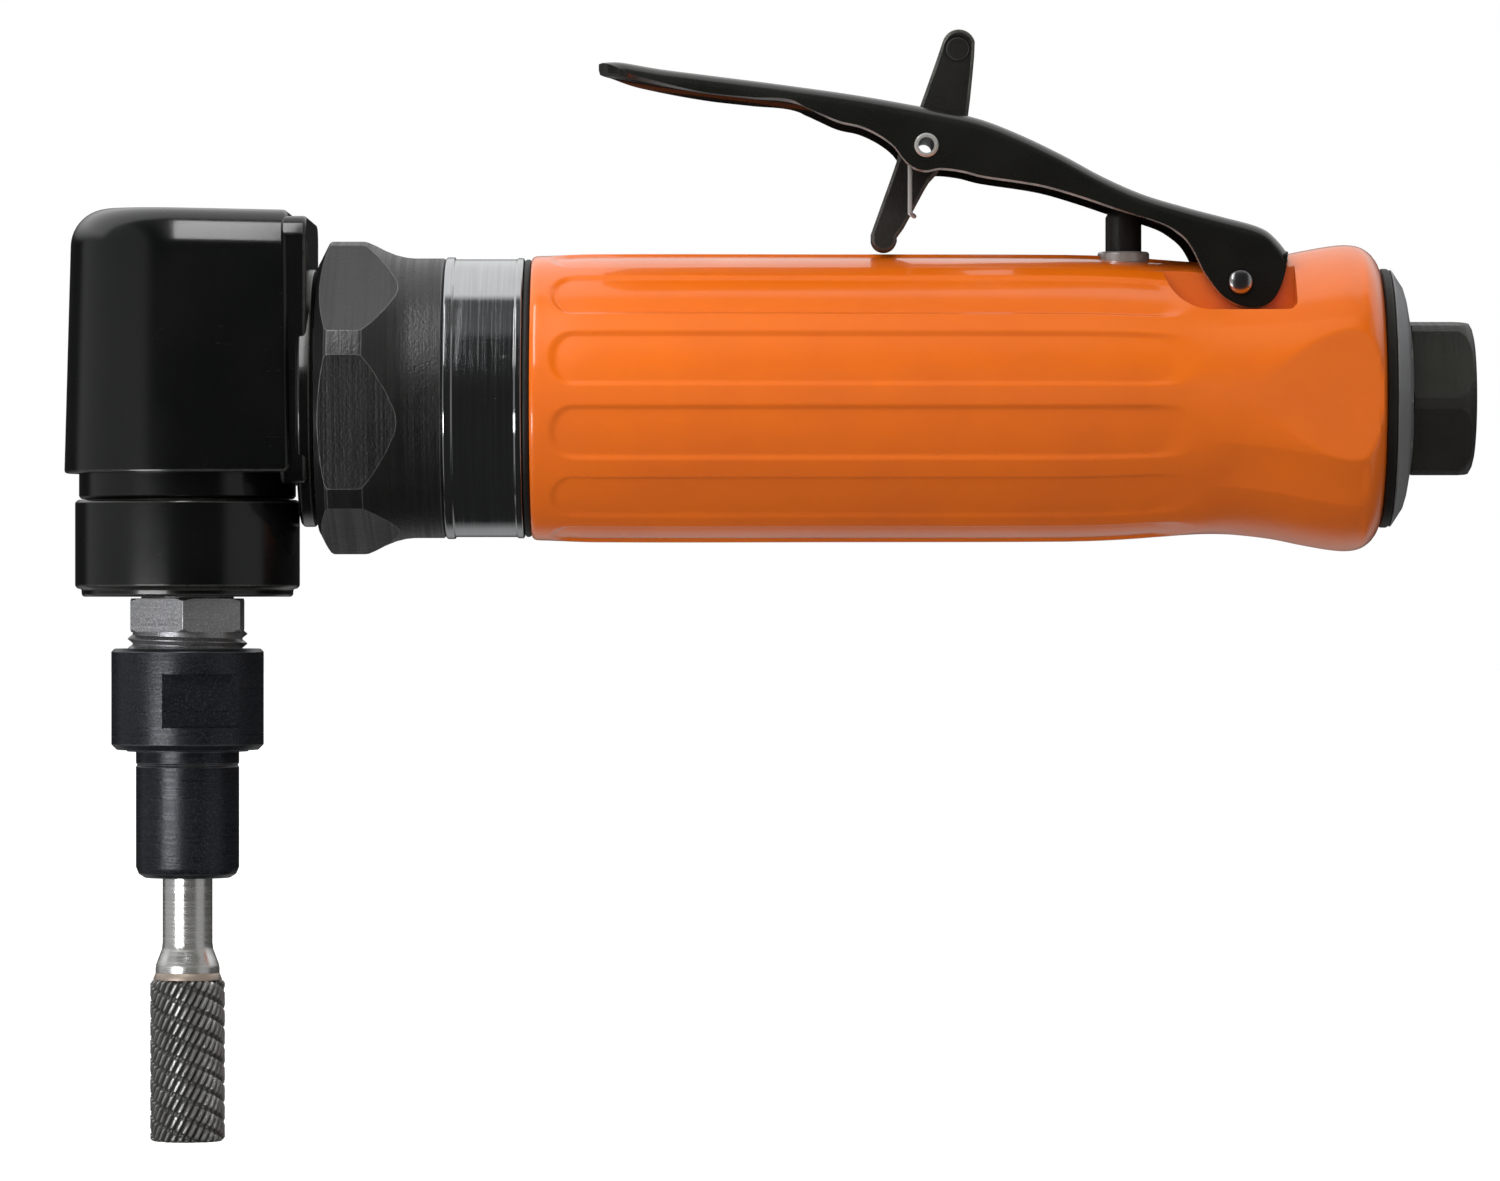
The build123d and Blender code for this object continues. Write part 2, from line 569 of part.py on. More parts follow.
with BuildPart() as lever:
    with BuildSketch(Plane.XZ) as side:
        with BuildLine():
            Spline(*[(at(s), z) for s, z in LEVER_TOP])
            Polyline((at(136.9), 21.3), *[(at(s), z) for s, z in LEVER_EDGE], (at(52.5), 42.5))
        make_face()
    extrude(side.sketch, amount=LEVER_HALF_WIDTH, both=True)
    # Everything under the top sheet, between the two side walls, is open.
    with BuildSketch(Plane.XZ) as hollow:
        with BuildLine():
            Spline(*[(at(s), z - SHEET * 1.06) for s, z in LEVER_TOP])
            Polyline((at(136.9), 21.3 - SHEET * 1.06), (at(145), 19.0), (at(145), 5),
                     (at(52.5), 5), (at(52.5), 42.5 - SHEET * 1.06))
        make_face()
    extrude(hollow.sketch, amount=LEVER_HALF_WIDTH - SHEET, both=True, mode=Mode.SUBTRACT)
    # Slot for the latch's tab, and the two pin holes.
    with BuildSketch(Plane.XY.offset(28)) as tab_slot:
        with Locations((at(99.1), 0)):
            RectangleRounded(13.2, 6.8, 1.0)
    extrude(tab_slot.sketch, amount=16, mode=Mode.SUBTRACT)
    bar_y(PIVOT_BORE_R, 12, LEVER_PIVOT, mode=Mode.SUBTRACT)
    bar_y(PIN_R, 12, LATCH_PIVOT, mode=Mode.SUBTRACT)
    # Round off the nose in plan.
    fillet(edges().filter_by(Axis.Z).group_by(Axis.X)[0], 4.0)
lever.part.label = "lever"
export_step(lever.part, "parts/lever.step")

with BuildPart() as lever_pin:
    bar_y(PIN_R, 9.6, LEVER_PIVOT)
lever_pin.part.label = "lever_pin"
export_step(lever_pin.part, "parts/lever_pin.step")

with BuildPart() as latch_pin:
    bar_y(PIN_R, 9.3, LATCH_PIVOT)
    bar_y(1.0, 9.3, LATCH_PIVOT, mode=Mode.SUBTRACT)
latch_pin.part.label = "latch_pin"
export_step(latch_pin.part, "parts/latch_pin.step")

with BuildPart() as latch:
    with BuildSketch(Plane.XZ) as plate:
        with BuildLine():
            Polyline(
                (at(93.2), 35.6), (at(93.5), 37.4), (at(94.2), 40.5), (at(95.4), 43.6),
                (at(96.1), 45.6),
            )
            Spline((at(96.1), 45.6), (at(98.3), 46.9), (at(100.3), 45.5), tangents=((0.4, 1), (0.1, -1)))
            Polyline(
                (at(100.3), 45.5), (at(100.3), 43.5), (at(100.1), 40.5), (at(99.4), 36.2),
                (at(96.8), 32.6), (at(95.6), 28.9), (at(94.2), 27.2), (at(93.1), 25.2),
                (at(91.7), 22.4), (at(90.4), 20.3),
            )
            RadiusArc((at(90.4), 20.3), (at(87.0), 20.6), 1.71)
            Polyline((at(87.0), 20.6), (at(90.5), 30.3), (at(91.2), 33.2), (at(93.2), 35.6))
        make_face()
        with Locations((at(LATCH_PIVOT[0]), LATCH_PIVOT[1])):
            Circle(PIVOT_BORE_R, mode=Mode.SUBTRACT)
    extrude(plate.sketch, amount=3.0, both=True)
latch.part.label = "latch"
export_step(latch.part, "parts/latch.step")

with BuildPart() as latch_spring:
    # Coil round the pivot, with a straight leg that bears on the latch.
    with BuildLine():
        Helix(pitch=0.75, height=1.5, radius=2.0, center=(at(LATCH_PIVOT[0]), -5.0, LATCH_PIVOT[1]),
              direction=(0, 1, 0))
    with BuildSketch(Plane(origin=(at(LATCH_PIVOT[0]) + 2.0, -5.0, LATCH_PIVOT[1]), z_dir=(0, 0.06, 1))):
        Circle(0.3)
    sweep()
    with BuildSketch(Plane(origin=(at(92.0), -4.9, LATCH_PIVOT[1]), z_dir=(0, 0, -1))) as wire:
        Circle(0.3)
    extrude(wire.sketch, amount=9.5)
latch_spring.part.label = "latch_spring"
export_step(latch_spring.part, "parts/latch_spring.step")
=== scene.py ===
# %% [markdown]
# A right-angle air die grinder, finished around its engineering frame.
# The frame holds every working piece at its true size. Each visible piece is rebuilt here with
# the rounding, cuts and surface that a maker would see, and rides on the frame body it belongs to.

# %% Load the frame
import bpy
import bmesh
import json
from math import acos, atan2, cos, pi, radians, sin, sqrt
from mathutils import Matrix, Vector


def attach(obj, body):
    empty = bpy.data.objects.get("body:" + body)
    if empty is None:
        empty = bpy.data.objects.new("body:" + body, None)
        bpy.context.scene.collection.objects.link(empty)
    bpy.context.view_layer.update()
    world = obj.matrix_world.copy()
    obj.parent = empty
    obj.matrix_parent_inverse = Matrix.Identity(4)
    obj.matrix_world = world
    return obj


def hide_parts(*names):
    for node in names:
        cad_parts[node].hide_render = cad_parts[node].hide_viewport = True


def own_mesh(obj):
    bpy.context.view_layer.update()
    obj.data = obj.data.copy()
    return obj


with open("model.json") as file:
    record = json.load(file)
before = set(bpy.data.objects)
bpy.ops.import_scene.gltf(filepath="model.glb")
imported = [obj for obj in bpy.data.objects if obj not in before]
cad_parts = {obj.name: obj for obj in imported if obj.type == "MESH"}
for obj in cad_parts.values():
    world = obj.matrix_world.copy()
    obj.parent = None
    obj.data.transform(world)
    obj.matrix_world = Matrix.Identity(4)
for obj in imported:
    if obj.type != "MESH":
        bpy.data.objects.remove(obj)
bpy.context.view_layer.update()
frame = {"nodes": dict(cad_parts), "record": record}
MM = 0.001
SPINDLE_X = -163.7
LEVER_PIVOT = (133.7, 14.5)
LATCH_PIVOT = (94.0, 31.8)
LATCH_MARK = (98.1, 44.35)
VALVE = 119.3
print("frame nodes:", len(frame["nodes"]))

# %% [markdown]
# Most pieces of this tool are turned on a lathe, so the first helper spins a cross-section
# about the handle's axis (X) or the spindle's (Z). A spin keeps every ring true and closes on
# itself when the last step is merged with the first.

# %% Helpers for turned pieces
def at(station):
    """X of a station counted rearwards from the spindle's axis, in millimetres."""
    return SPINDLE_X + station


def spot(along, radius, axis):
    """A point of a cross-section, in metres, drawn in the tool's middle plane."""
    if axis == "X":
        return Vector((at(along), 0, radius)) * MM
    return Vector((SPINDLE_X + radius, 0, along)) * MM


def spun(outline, centre, direction, steps):
    """Spin a closed outline of points in metres once round an axis, into a closed solid."""
    bm = bmesh.new()
    ring = [bm.verts.new(place) for place in outline]
    for one, two in zip(ring, ring[1:] + ring[:1]):
        bm.edges.new((one, two))
    bmesh.ops.spin(bm, geom=bm.verts[:] + bm.edges[:], cent=centre, axis=direction,
                   angle=2 * pi, steps=steps, use_merge=True)
    bmesh.ops.remove_doubles(bm, verts=bm.verts, dist=1e-7)
    bmesh.ops.dissolve_degenerate(bm, dist=1e-7, edges=bm.edges)
    bmesh.ops.recalc_face_normals(bm, faces=bm.faces)
    return bm


def turned(points, axis="X", steps=96):
    """A solid of revolution from a closed outline of (along, radius) points."""
    centre = (0, 0, 0) if axis == "X" else (SPINDLE_X * MM, 0, 0)
    direction = (1, 0, 0) if axis == "X" else (0, 0, 1)
    return spun([spot(a, r, axis) for a, r in points], centre, direction, steps)


def screwed(outline, centre, direction, advance, turns, steps):
    """Carry a small outline of points in metres round an axis while it advances along it."""
    bm = bmesh.new()
    start = bm.faces.new([bm.verts.new(place) for place in outline])
    count = int(steps * turns)
    bmesh.ops.spin(bm, geom=[start] + start.edges[:] + start.verts[:], cent=centre,
                   axis=direction, dvec=Vector(direction) * (advance / count * MM),
                   angle=2 * pi * turns, steps=count, use_merge=False)
    bmesh.ops.recalc_face_normals(bm, faces=bm.faces)
    return bm


FINE_EDGE = 0.6


def soften(bm, width, segments=2, angle=30, keep=None, clamp=True):
    """Round the sharp edges by a width in millimetres, and mark the fine ones for wear.

    keep picks which edges to round."""
    sharp = [e for e in bm.edges if len(e.link_faces) == 2
             and e.calc_face_angle(0) > radians(angle) and (keep is None or keep(e))]
    rounded = bmesh.ops.bevel(bm, geom=sharp, offset=width * MM, offset_type="OFFSET",
                              affect="EDGES", segments=segments, profile=0.5, material=-1,
                              clamp_overlap=clamp)
    rim = bm.loops.layers.float.get("rim") or bm.loops.layers.float.new("rim")
    for face in rounded["faces"]:
        for corner in face.loops:
            corner[rim] = 1.0 if width < FINE_EDGE else 0.0


def slice_flats(bm, centre, normals, distance):
    """Mill flats: cut away what lies beyond a plane at each normal, and close the cut."""
    for normal in normals:
        direction = Vector(normal).normalized()
        cut = bmesh.ops.bisect_plane(
            bm, geom=bm.verts[:] + bm.edges[:] + bm.faces[:], dist=1e-7, plane_no=direction,
            plane_co=Vector(centre) + direction * distance * MM, clear_outer=True)
        rim = [e for e in cut["geom_cut"] if isinstance(e, bmesh.types.BMEdge)]
        bmesh.ops.edgenet_fill(bm, edges=rim)


def ring_of_normals(count, first, axis="X"):
    """Unit directions spaced evenly round an axis, the first at an angle in degrees."""
    turns = [radians(first + 360 / count * k) for k in range(count)]
    if axis == "X":
        return [(0, cos(t), sin(t)) for t in turns]
    return [(cos(t), sin(t), 0) for t in turns]


# %% [markdown]
# Some cuts, such as the lever's pockets, meet curved walls where no simple plane or inset fits.
# For those a cutter solid is subtracted with an exact Boolean and the result taken back as a
# mesh, so nothing live is left on the piece.

# %% Helpers for cutting and for plates
def to_object(bm, name):
    """A plain object from a bmesh."""
    mesh = bpy.data.meshes.new(name)
    bm.to_mesh(mesh)
    bm.free()
    obj = bpy.data.objects.new(name, mesh)
    bpy.context.scene.collection.objects.link(obj)
    return obj


def carve(bm, *cutters):
    """Subtract each cutter from a solid and return the carved bmesh."""
    body = to_object(bm, "carving")
    tools = [to_object(c, "cutter") for c in cutters]
    for tool in tools:
        cut = body.modifiers.new("cut", "BOOLEAN")
        cut.operation = "DIFFERENCE"
        cut.solver = "EXACT"
        cut.object = tool
    carved = bmesh.new()
    carved.from_object(body, bpy.context.evaluated_depsgraph_get())
    for spent in [body] + tools:
        mesh = spent.data
        bpy.data.objects.remove(spent)
        bpy.data.meshes.remove(mesh)
    return carved


def plate(points, half_width, middle=0.0):
    """A plate standing in the tool's middle plane: an outline of (station, z), thick along Y."""
    bm = bmesh.new()
    rim = [bm.verts.new(Vector((at(s), middle - half_width, z)) * MM) for s, z in points]
    face = bm.faces.new(rim)
    grown = bmesh.ops.extrude_face_region(bm, geom=[face])
    moved = [g for g in grown["geom"] if isinstance(g, bmesh.types.BMVert)]
    bmesh.ops.translate(bm, verts=moved, vec=(0, 2 * half_width * MM, 0))
    bmesh.ops.recalc_face_normals(bm, faces=bm.faces)
    return bm


def rod(radius, start, end, steps=48):
    """A round rod between two points in millimetres."""
    line = Vector(end) - Vector(start)
    bm = bmesh.new()
    bmesh.ops.create_cone(bm, cap_ends=True, segments=steps, radius1=radius * MM,
                          radius2=radius * MM, depth=line.length * MM)
    turn = line.to_track_quat("Z", "Y").to_matrix().to_4x4()
    middle = (Vector(start) + Vector(end)) / 2 * MM
    bmesh.ops.transform(bm, matrix=Matrix.Translation(middle) @ turn, verts=bm.verts)
    return bm


def joined(*parts):
    """Several closed shells kept together as one piece."""
    whole = parts[0]
    for part in parts[1:]:
        scrap = bpy.data.meshes.new("scrap")
        part.to_mesh(scrap)
        part.free()
        whole.from_mesh(scrap)
        bpy.data.meshes.remove(scrap)
    return whole


def smooth_step(value, low, high):
    """0 below low, 1 above high, and an S-curve between."""
    t = min(1.0, max(0.0, (value - low) / (high - low)))
    return t * t * (3 - 2 * t)


# %% [markdown]
# Surfaces. Three effects appear on almost every piece, so each is one node group: fine grain
# (orange peel on paint, casting on metal), handling marks that vary the gloss, and edge wear,
# where paint thins and steel brightens; on the lever's sheared edge and the cutter's tooth tops
# the same mask also paints highlight. A group only puts out masks and values; the shader
# stays in each material.

# %% Shared shader groups
def new_group(name, inputs, outputs):
    """An empty node group with float sockets, and a vector input for the place."""
    group = bpy.data.node_groups.new(name, "ShaderNodeTree")
    group.interface.new_socket("Place", in_out="INPUT", socket_type="NodeSocketVector")
    for label, value in inputs:
        socket = group.interface.new_socket(label, in_out="INPUT", socket_type="NodeSocketFloat")
        socket.default_value = value
    for label in outputs:
        group.interface.new_socket(label, in_out="OUTPUT", socket_type="NodeSocketFloat")
    return group, group.nodes.new("NodeGroupInput"), group.nodes.new("NodeGroupOutput")


def feed(tree, socket, given):
    """Give a socket a number or a colour, or link another socket to it."""
    if isinstance(given, (int, float)):
        socket.default_value = given
    elif isinstance(given, tuple):
        socket.default_value = given + (1,)
    else:
        tree.links.new(given, socket)


def noise(tree, place, scale, detail=3.0, rough=0.55):
    """A noise texture node read at a place."""
    node = tree.nodes.new("ShaderNodeTexNoise")
    node.inputs["Detail"].default_value = detail
    node.inputs["Roughness"].default_value = rough
    feed(tree, node.inputs["Scale"], scale)
    tree.links.new(place, node.inputs["Vector"])
    return node


def spread(tree, value, low, high, to_low=0.0, to_high=1.0):
    """Map a value from one range to another, clamped. A range may be a socket."""
    node = tree.nodes.new("ShaderNodeMapRange")
    tree.links.new(value, node.inputs["Value"])
    for key, given in zip(("From Min", "From Max", "To Min", "To Max"), (low, high, to_low, to_high)):
        feed(tree, node.inputs[key], given)
    return node.outputs["Result"]


def arith(tree, operation, one, two):
    """A Math node. Either side may be a socket or a number."""
    node = tree.nodes.new("ShaderNodeMath")
    node.operation = operation
    feed(tree, node.inputs[0], one)
    feed(tree, node.inputs[1], two)
    return node.outputs[0]


def make_grain_group():
    """Fine relief: two sizes of noise, one riding on the other."""
    tree, given, out = new_group("fine grain", [("Scale", 900.0), ("Coarse", 0.4)], ["Height"])
    fine = noise(tree, given.outputs["Place"], given.outputs["Scale"], 2.0)
    coarse_scale = arith(tree, "MULTIPLY", given.outputs["Scale"], 0.22)
    coarse = noise(tree, given.outputs["Place"], coarse_scale, 2.0)
    lifted = arith(tree, "MULTIPLY", coarse.outputs["Fac"], given.outputs["Coarse"])
    tree.links.new(arith(tree, "ADD", fine.outputs["Fac"], lifted), out.inputs["Height"])
    return tree


def make_handling_group():
    """Where hands and rags have been: broad soft patches and a few fine rubs."""
    tree, given, out = new_group("handling marks", [("Size", 60.0), ("Rubs", 0.5)],
                                 ["Patch", "Rub"])
    patch = noise(tree, given.outputs["Place"], given.outputs["Size"], 4.0)
    tree.links.new(spread(tree, patch.outputs["Fac"], 0.35, 0.68), out.inputs["Patch"])
    stretch = tree.nodes.new("ShaderNodeMapping")
    stretch.inputs["Scale"].default_value = (0.35, 3.0, 3.0)
    stretch.inputs["Rotation"].default_value = (0.3, 0.5, 0.25)
    tree.links.new(given.outputs["Place"], stretch.inputs["Vector"])
    scratch = noise(tree, stretch.outputs["Vector"], 900.0, 2.0, 0.7)
    thin = spread(tree, scratch.outputs["Fac"], 0.66, 0.74)
    tree.links.new(arith(tree, "MULTIPLY", thin, given.outputs["Rubs"]), out.inputs["Rub"])
    return tree


def make_wear_and_highlight_group():
    """Edge wear: the edges marked as rim, broken up by noise so that no edge wears evenly.
    On the lever's sheared edge and the cutter's tooth tops the same mask also paints highlight.
    """
    tree, given, out = new_group("edge wear", [("Rim", 0.0), ("Amount", 0.5), ("Size", 500.0)],
                                 ["Wear"])
    breakup = noise(tree, given.outputs["Place"], given.outputs["Size"], 4.0)
    chipped = spread(tree, breakup.outputs["Fac"], 0.34, 0.60, 0.25, 1.0)
    both = arith(tree, "MULTIPLY", given.outputs["Rim"], chipped)
    tree.links.new(arith(tree, "MULTIPLY", both, given.outputs["Amount"]), out.inputs["Wear"])
    return tree


def make_turning_group():
    """Tool marks of a lathe: fine rings that change only along the axis given by Place.x."""
    tree, given, out = new_group("turning marks", [("Pitch", 3500.0)], ["Rings"])
    flat = tree.nodes.new("ShaderNodeMapping")
    flat.inputs["Scale"].default_value = (1.0, 0.012, 0.012)
    tree.links.new(given.outputs["Place"], flat.inputs["Vector"])
    rings = noise(tree, flat.outputs["Vector"], given.outputs["Pitch"], 2.0, 0.5)
    tree.links.new(rings.outputs["Fac"], out.inputs["Rings"])
    return tree


GRAIN = make_grain_group()
HANDLING = make_handling_group()
WEAR_AND_HIGHLIGHT = make_wear_and_highlight_group()
TURNING = make_turning_group()
print("shader groups:", [g.name for g in bpy.data.node_groups])

# %% [markdown]
# One function lays out every finish, because paint, phosphate, oxide and bare steel differ only
# in colour, gloss, grain and how they wear. Constants that are the same all over a piece are
# set on the shader's own sockets, so that they survive an export.

# %% A finish
def place_group(tree, group, place, **values):
    """Put a shared group into a material with its own values."""
    node = tree.nodes.new("ShaderNodeGroup")
    node.node_tree = group
    tree.links.new(place, node.inputs["Place"])
    for label, value in values.items():
        feed(tree, node.inputs[label], value)
    return node


def blend_colour(tree, factor, one, two):
    """Mix two colours by a factor. Either may be a socket."""
    node = tree.nodes.new("ShaderNodeMix")
    node.data_type = "RGBA"
    for key, given in ((0, factor), (6, one), (7, two)):
        feed(tree, node.inputs[key], given)
    return node.outputs[2]


def finish_of(name, colour, shade, rough, metallic=0.0, coat=0.0, coat_rough=0.05,
              grain=(900.0, 0.4), relief=0.05, wear=None, wear_amount=0.5, rubs=0.3, rings=None,
              ring_axis="X", rough_swing=0.08, specular=0.5, speck=None, bare=True):
    """A whole material: colour and gloss varied by handling, with grain, lathe rings and wear.

    Wear goes down to bare metal unless bare is False."""
    material = bpy.data.materials.new(name)
    material.use_nodes = True
    tree = material.node_tree
    shader = tree.nodes["Principled BSDF"]
    place = tree.nodes.new("ShaderNodeTexCoord").outputs["Object"]
    marks = place_group(tree, HANDLING, place, Size=70.0, Rubs=rubs)
    body = blend_colour(tree, marks.outputs["Patch"], colour, shade)
    roughness = spread(tree, marks.outputs["Patch"], 0.0, 1.0, rough, rough + rough_swing)
    roughness = arith(tree, "ADD", roughness, arith(tree, "MULTIPLY", marks.outputs["Rub"], 0.22))
    height = place_group(tree, GRAIN, place, Scale=grain[0], Coarse=grain[1]).outputs["Height"]
    if rings:
        turned_place = place
        if ring_axis == "Z":
            swap = tree.nodes.new("ShaderNodeMapping")
            swap.inputs["Rotation"].default_value = (0, pi / 2, 0)
            tree.links.new(place, swap.inputs["Vector"])
            turned_place = swap.outputs["Vector"]
        lines = place_group(tree, TURNING, turned_place, Pitch=rings[0]).outputs["Rings"]
        height = arith(tree, "ADD", height, arith(tree, "MULTIPLY", lines, rings[1]))
        roughness = arith(tree, "ADD", roughness, spread(tree, lines, 0.35, 0.65, -0.05, 0.07))
        bright = tuple(min(1, c * 1.35 + 0.004) for c in colour)
        body = blend_colour(tree, spread(tree, lines, 0.35, 0.7, 0.0, 0.35), body, bright)
    if speck:
        dots = noise(tree, place, 5200.0, 1.0)
        body = blend_colour(tree, spread(tree, dots.outputs["Fac"], 0.50, 0.64), body, speck)
    metal = None
    # The wear mask: edge wear on most pieces, and painted highlight on the lever's sheared edge and the cutter's
    # tooth tops.
    if wear:
        rim = tree.nodes.new("ShaderNodeAttribute")
        rim.attribute_name = "rim"
        wear_and_highlight = place_group(tree, WEAR_AND_HIGHLIGHT, place, Rim=rim.outputs["Fac"], Amount=wear_amount,
                           Size=420.0).outputs["Wear"]
        body = blend_colour(tree, wear_and_highlight, body, wear)
        if bare and metallic < 1:
            metal = spread(tree, wear_and_highlight, 0.0, 1.0, metallic, 1.0)
    tree.links.new(body, shader.inputs["Base Color"])
    tree.links.new(roughness, shader.inputs["Roughness"])
    shader.inputs["Metallic"].default_value = metallic
    if metal:
        tree.links.new(metal, shader.inputs["Metallic"])
    shader.inputs["Coat Weight"].default_value = coat
    shader.inputs["Coat Roughness"].default_value = coat_rough
    shader.inputs["Specular IOR Level"].default_value = specular
    bump = tree.nodes.new("ShaderNodeBump")
    bump.inputs["Strength"].default_value = relief
    bump.inputs["Distance"].default_value = 0.0002
    tree.links.new(height, bump.inputs["Height"])
    tree.links.new(bump.outputs["Normal"], shader.inputs["Normal"])
    return material


# %% The finishes of this tool
orange_enamel = finish_of("orange enamel", (0.80, 0.150, 0.004), (0.74, 0.132, 0.003), 0.28, coat=0.75,
                          coat_rough=0.06, grain=(520.0, 0.9), relief=0.08, wear=(0.90, 0.36, 0.12),
                          wear_amount=0.25, rubs=0.25)
black_enamel = finish_of("black enamel", (0.0014, 0.0017, 0.0019), (0.0028, 0.0031, 0.0031), 0.20, coat=0.35,
                         coat_rough=0.08, grain=(800.0, 0.5), relief=0.06, wear=(0.09, 0.09, 0.09),
                         wear_amount=0.7, rubs=0.3, rough_swing=0.03)
# The lever's light grey edge colour is partly wear and partly a painted highlight along its sheared edge; with bare
# False it stays paint, not metal.
lever_enamel = finish_of("lever enamel", (0.0055, 0.0056, 0.0050), (0.0085, 0.0087, 0.0078), 0.22, coat=0.4,
                         coat_rough=0.10, grain=(1100.0, 0.3), relief=0.045, wear=(0.45, 0.45, 0.45),
                         wear_amount=0.9, rubs=0.7, bare=False)
phosphate = finish_of("grey phosphate", (0.005, 0.0053, 0.0056), (0.010, 0.0104, 0.0112), 0.38, metallic=0.10,
                      grain=(2600.0, 0.5), relief=0.30, wear=(0.24, 0.24, 0.25), wear_amount=0.9,
                      rubs=0.6, rings=(2600.0, 0.8), specular=1.0)
polished_steel = finish_of("polished steel", (0.52, 0.53, 0.54), (0.46, 0.47, 0.48), 0.09, metallic=1.0,
                           grain=(1500.0, 0.3), relief=0.012, rubs=0.5, rings=(4200.0, 1.6),
                           rough_swing=0.04)
steel_along_z = finish_of("ground shank steel", (0.74, 0.745, 0.75), (0.62, 0.625, 0.63), 0.20,
                          metallic=0.85, grain=(1500.0, 0.3), relief=0.008, rubs=0.5,
                          rings=(3800.0, 0.8), ring_axis="Z")
spindle_steel = finish_of("milled spindle steel", (0.34, 0.345, 0.36), (0.25, 0.25, 0.265), 0.30, metallic=0.85,
                          grain=(1800.0, 0.5), relief=0.12, wear=(0.65, 0.65, 0.66), wear_amount=0.7,
                          rubs=0.7, rings=(3000.0, 0.6), ring_axis="Z", speck=(0.48, 0.48, 0.50))
collet_oxide = finish_of("collet nut oxide", (0.006, 0.0075, 0.0095), (0.012, 0.0145, 0.0175), 0.27,
                         metallic=0.4, grain=(3000.0, 0.3), relief=0.16, wear=(0.16, 0.17, 0.18),
                         wear_amount=0.8, rubs=0.7, rings=(3000.0, 0.4), ring_axis="Z", speck=(0.030, 0.032, 0.048))
# The light wear colour goes on the tooth tops by their height: painted highlight on the cutting edges over painted
# shade in the flutes.
cutter_carbide = finish_of("cutter carbide", (0.085, 0.085, 0.088), (0.06, 0.06, 0.062), 0.34, metallic=0.5,
                           grain=(3000.0, 0.4), relief=0.10, wear=(0.58, 0.58, 0.585), wear_amount=0.9)
braze = finish_of("braze joint", (0.52, 0.45, 0.40), (0.36, 0.29, 0.25), 0.34, metallic=0.6,
                  grain=(1600.0, 0.8), relief=0.25, rubs=0.3)
hex_oxide = finish_of("black oxide hexagon", (0.029, 0.029, 0.0295), (0.044, 0.0435, 0.0435), 0.42,
                      metallic=0.4, grain=(2400.0, 0.5), relief=0.32, wear=(0.30, 0.30, 0.31),
                      wear_amount=1.0, rubs=0.7, rings=(1900.0, 1.0))
cover_grey = finish_of("gunmetal cover", (0.27, 0.275, 0.30), (0.22, 0.225, 0.25), 0.38, metallic=0.35,
                       grain=(2200.0, 0.5), relief=0.2, wear=(0.30, 0.30, 0.31), wear_amount=0.5)
seal_rubber = finish_of("seal rubber", (0.008, 0.008, 0.0085), (0.014, 0.014, 0.0145), 0.52,
                        grain=(2600.0, 0.7), relief=0.25, rubs=0.1)
latch_black = finish_of("latch black", (0.012, 0.012, 0.012), (0.02, 0.02, 0.02), 0.36, grain=(2200.0, 0.6),
                        relief=0.3, wear=(0.10, 0.10, 0.098), wear_amount=0.8, rubs=0.6, bare=False)
stem_black = finish_of("stem black", (0.010, 0.010, 0.0105), (0.018, 0.018, 0.0185), 0.36,
                       grain=(2000.0, 0.5), relief=0.18, rubs=0.4)
spring_wire = finish_of("spring wire", (0.66, 0.66, 0.67), (0.56, 0.56, 0.57), 0.28, metallic=0.6,
                        grain=(2600.0, 0.3), relief=0.1)
pin_steel = finish_of("polished pin steel", (0.62, 0.62, 0.63), (0.52, 0.52, 0.53), 0.20, metallic=1.0,
                      grain=(2600.0, 0.3), relief=0.04)
ground_steel = finish_of("ground inner steel", (0.45, 0.45, 0.46), (0.36, 0.36, 0.37), 0.3, metallic=1.0,
                         grain=(1800.0, 0.4), relief=0.1, rings=(3000.0, 1.0))
motor_iron = finish_of("motor iron", (0.22, 0.22, 0.22), (0.16, 0.16, 0.16), 0.42, metallic=1.0,
                       grain=(1500.0, 0.8), relief=0.3)
vane_laminate = finish_of("vane laminate", (0.16, 0.08, 0.035), (0.11, 0.055, 0.025), 0.5,
                          grain=(2600.0, 0.9), relief=0.3)
valve_brass = finish_of("valve brass", (0.62, 0.42, 0.14), (0.5, 0.33, 0.1), 0.28, metallic=1.0,
                        grain=(1800.0, 0.4), relief=0.1)
silencer_felt = finish_of("silencer felt", (0.20, 0.19, 0.17), (0.12, 0.115, 0.10), 0.9,
                          grain=(1300.0, 1.0), relief=0.9)
print("finishes:", len(bpy.data.materials))


# %% [markdown]
# A finished piece is named, smoothed up to its crisp edges, given its finish, and tied to the
# body it moves with. Its object stays at the origin with its place in the mesh.

# %% Finish a piece
def piece(name, bm, material, body, stands_for=(), smooth=32):
    """Turn a bmesh into a finished piece of the tool."""
    bmesh.ops.remove_doubles(bm, verts=bm.verts, dist=2e-7)
    obj = to_object(bm, name)
    for face in obj.data.polygons:
        face.use_smooth = True
    obj.data.set_sharp_from_angle(angle=radians(smooth))
    obj.data.materials.append(material)
    even = obj.modifiers.new("even_normals", "WEIGHTED_NORMAL")
    even.mode = "FACE_AREA_WITH_ANGLE"
    even.keep_sharp = True
    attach(obj, body)
    if stands_for:
        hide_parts(*stands_for)
    low = [min(v.co[i] for v in obj.data.vertices) / MM for i in range(3)]
    high = [max(v.co[i] for v in obj.data.vertices) / MM for i in range(3)]
    print(name, "faces", len(obj.data.polygons), "mm", [round(h - l, 1) for h, l in zip(high, low)])
    return obj


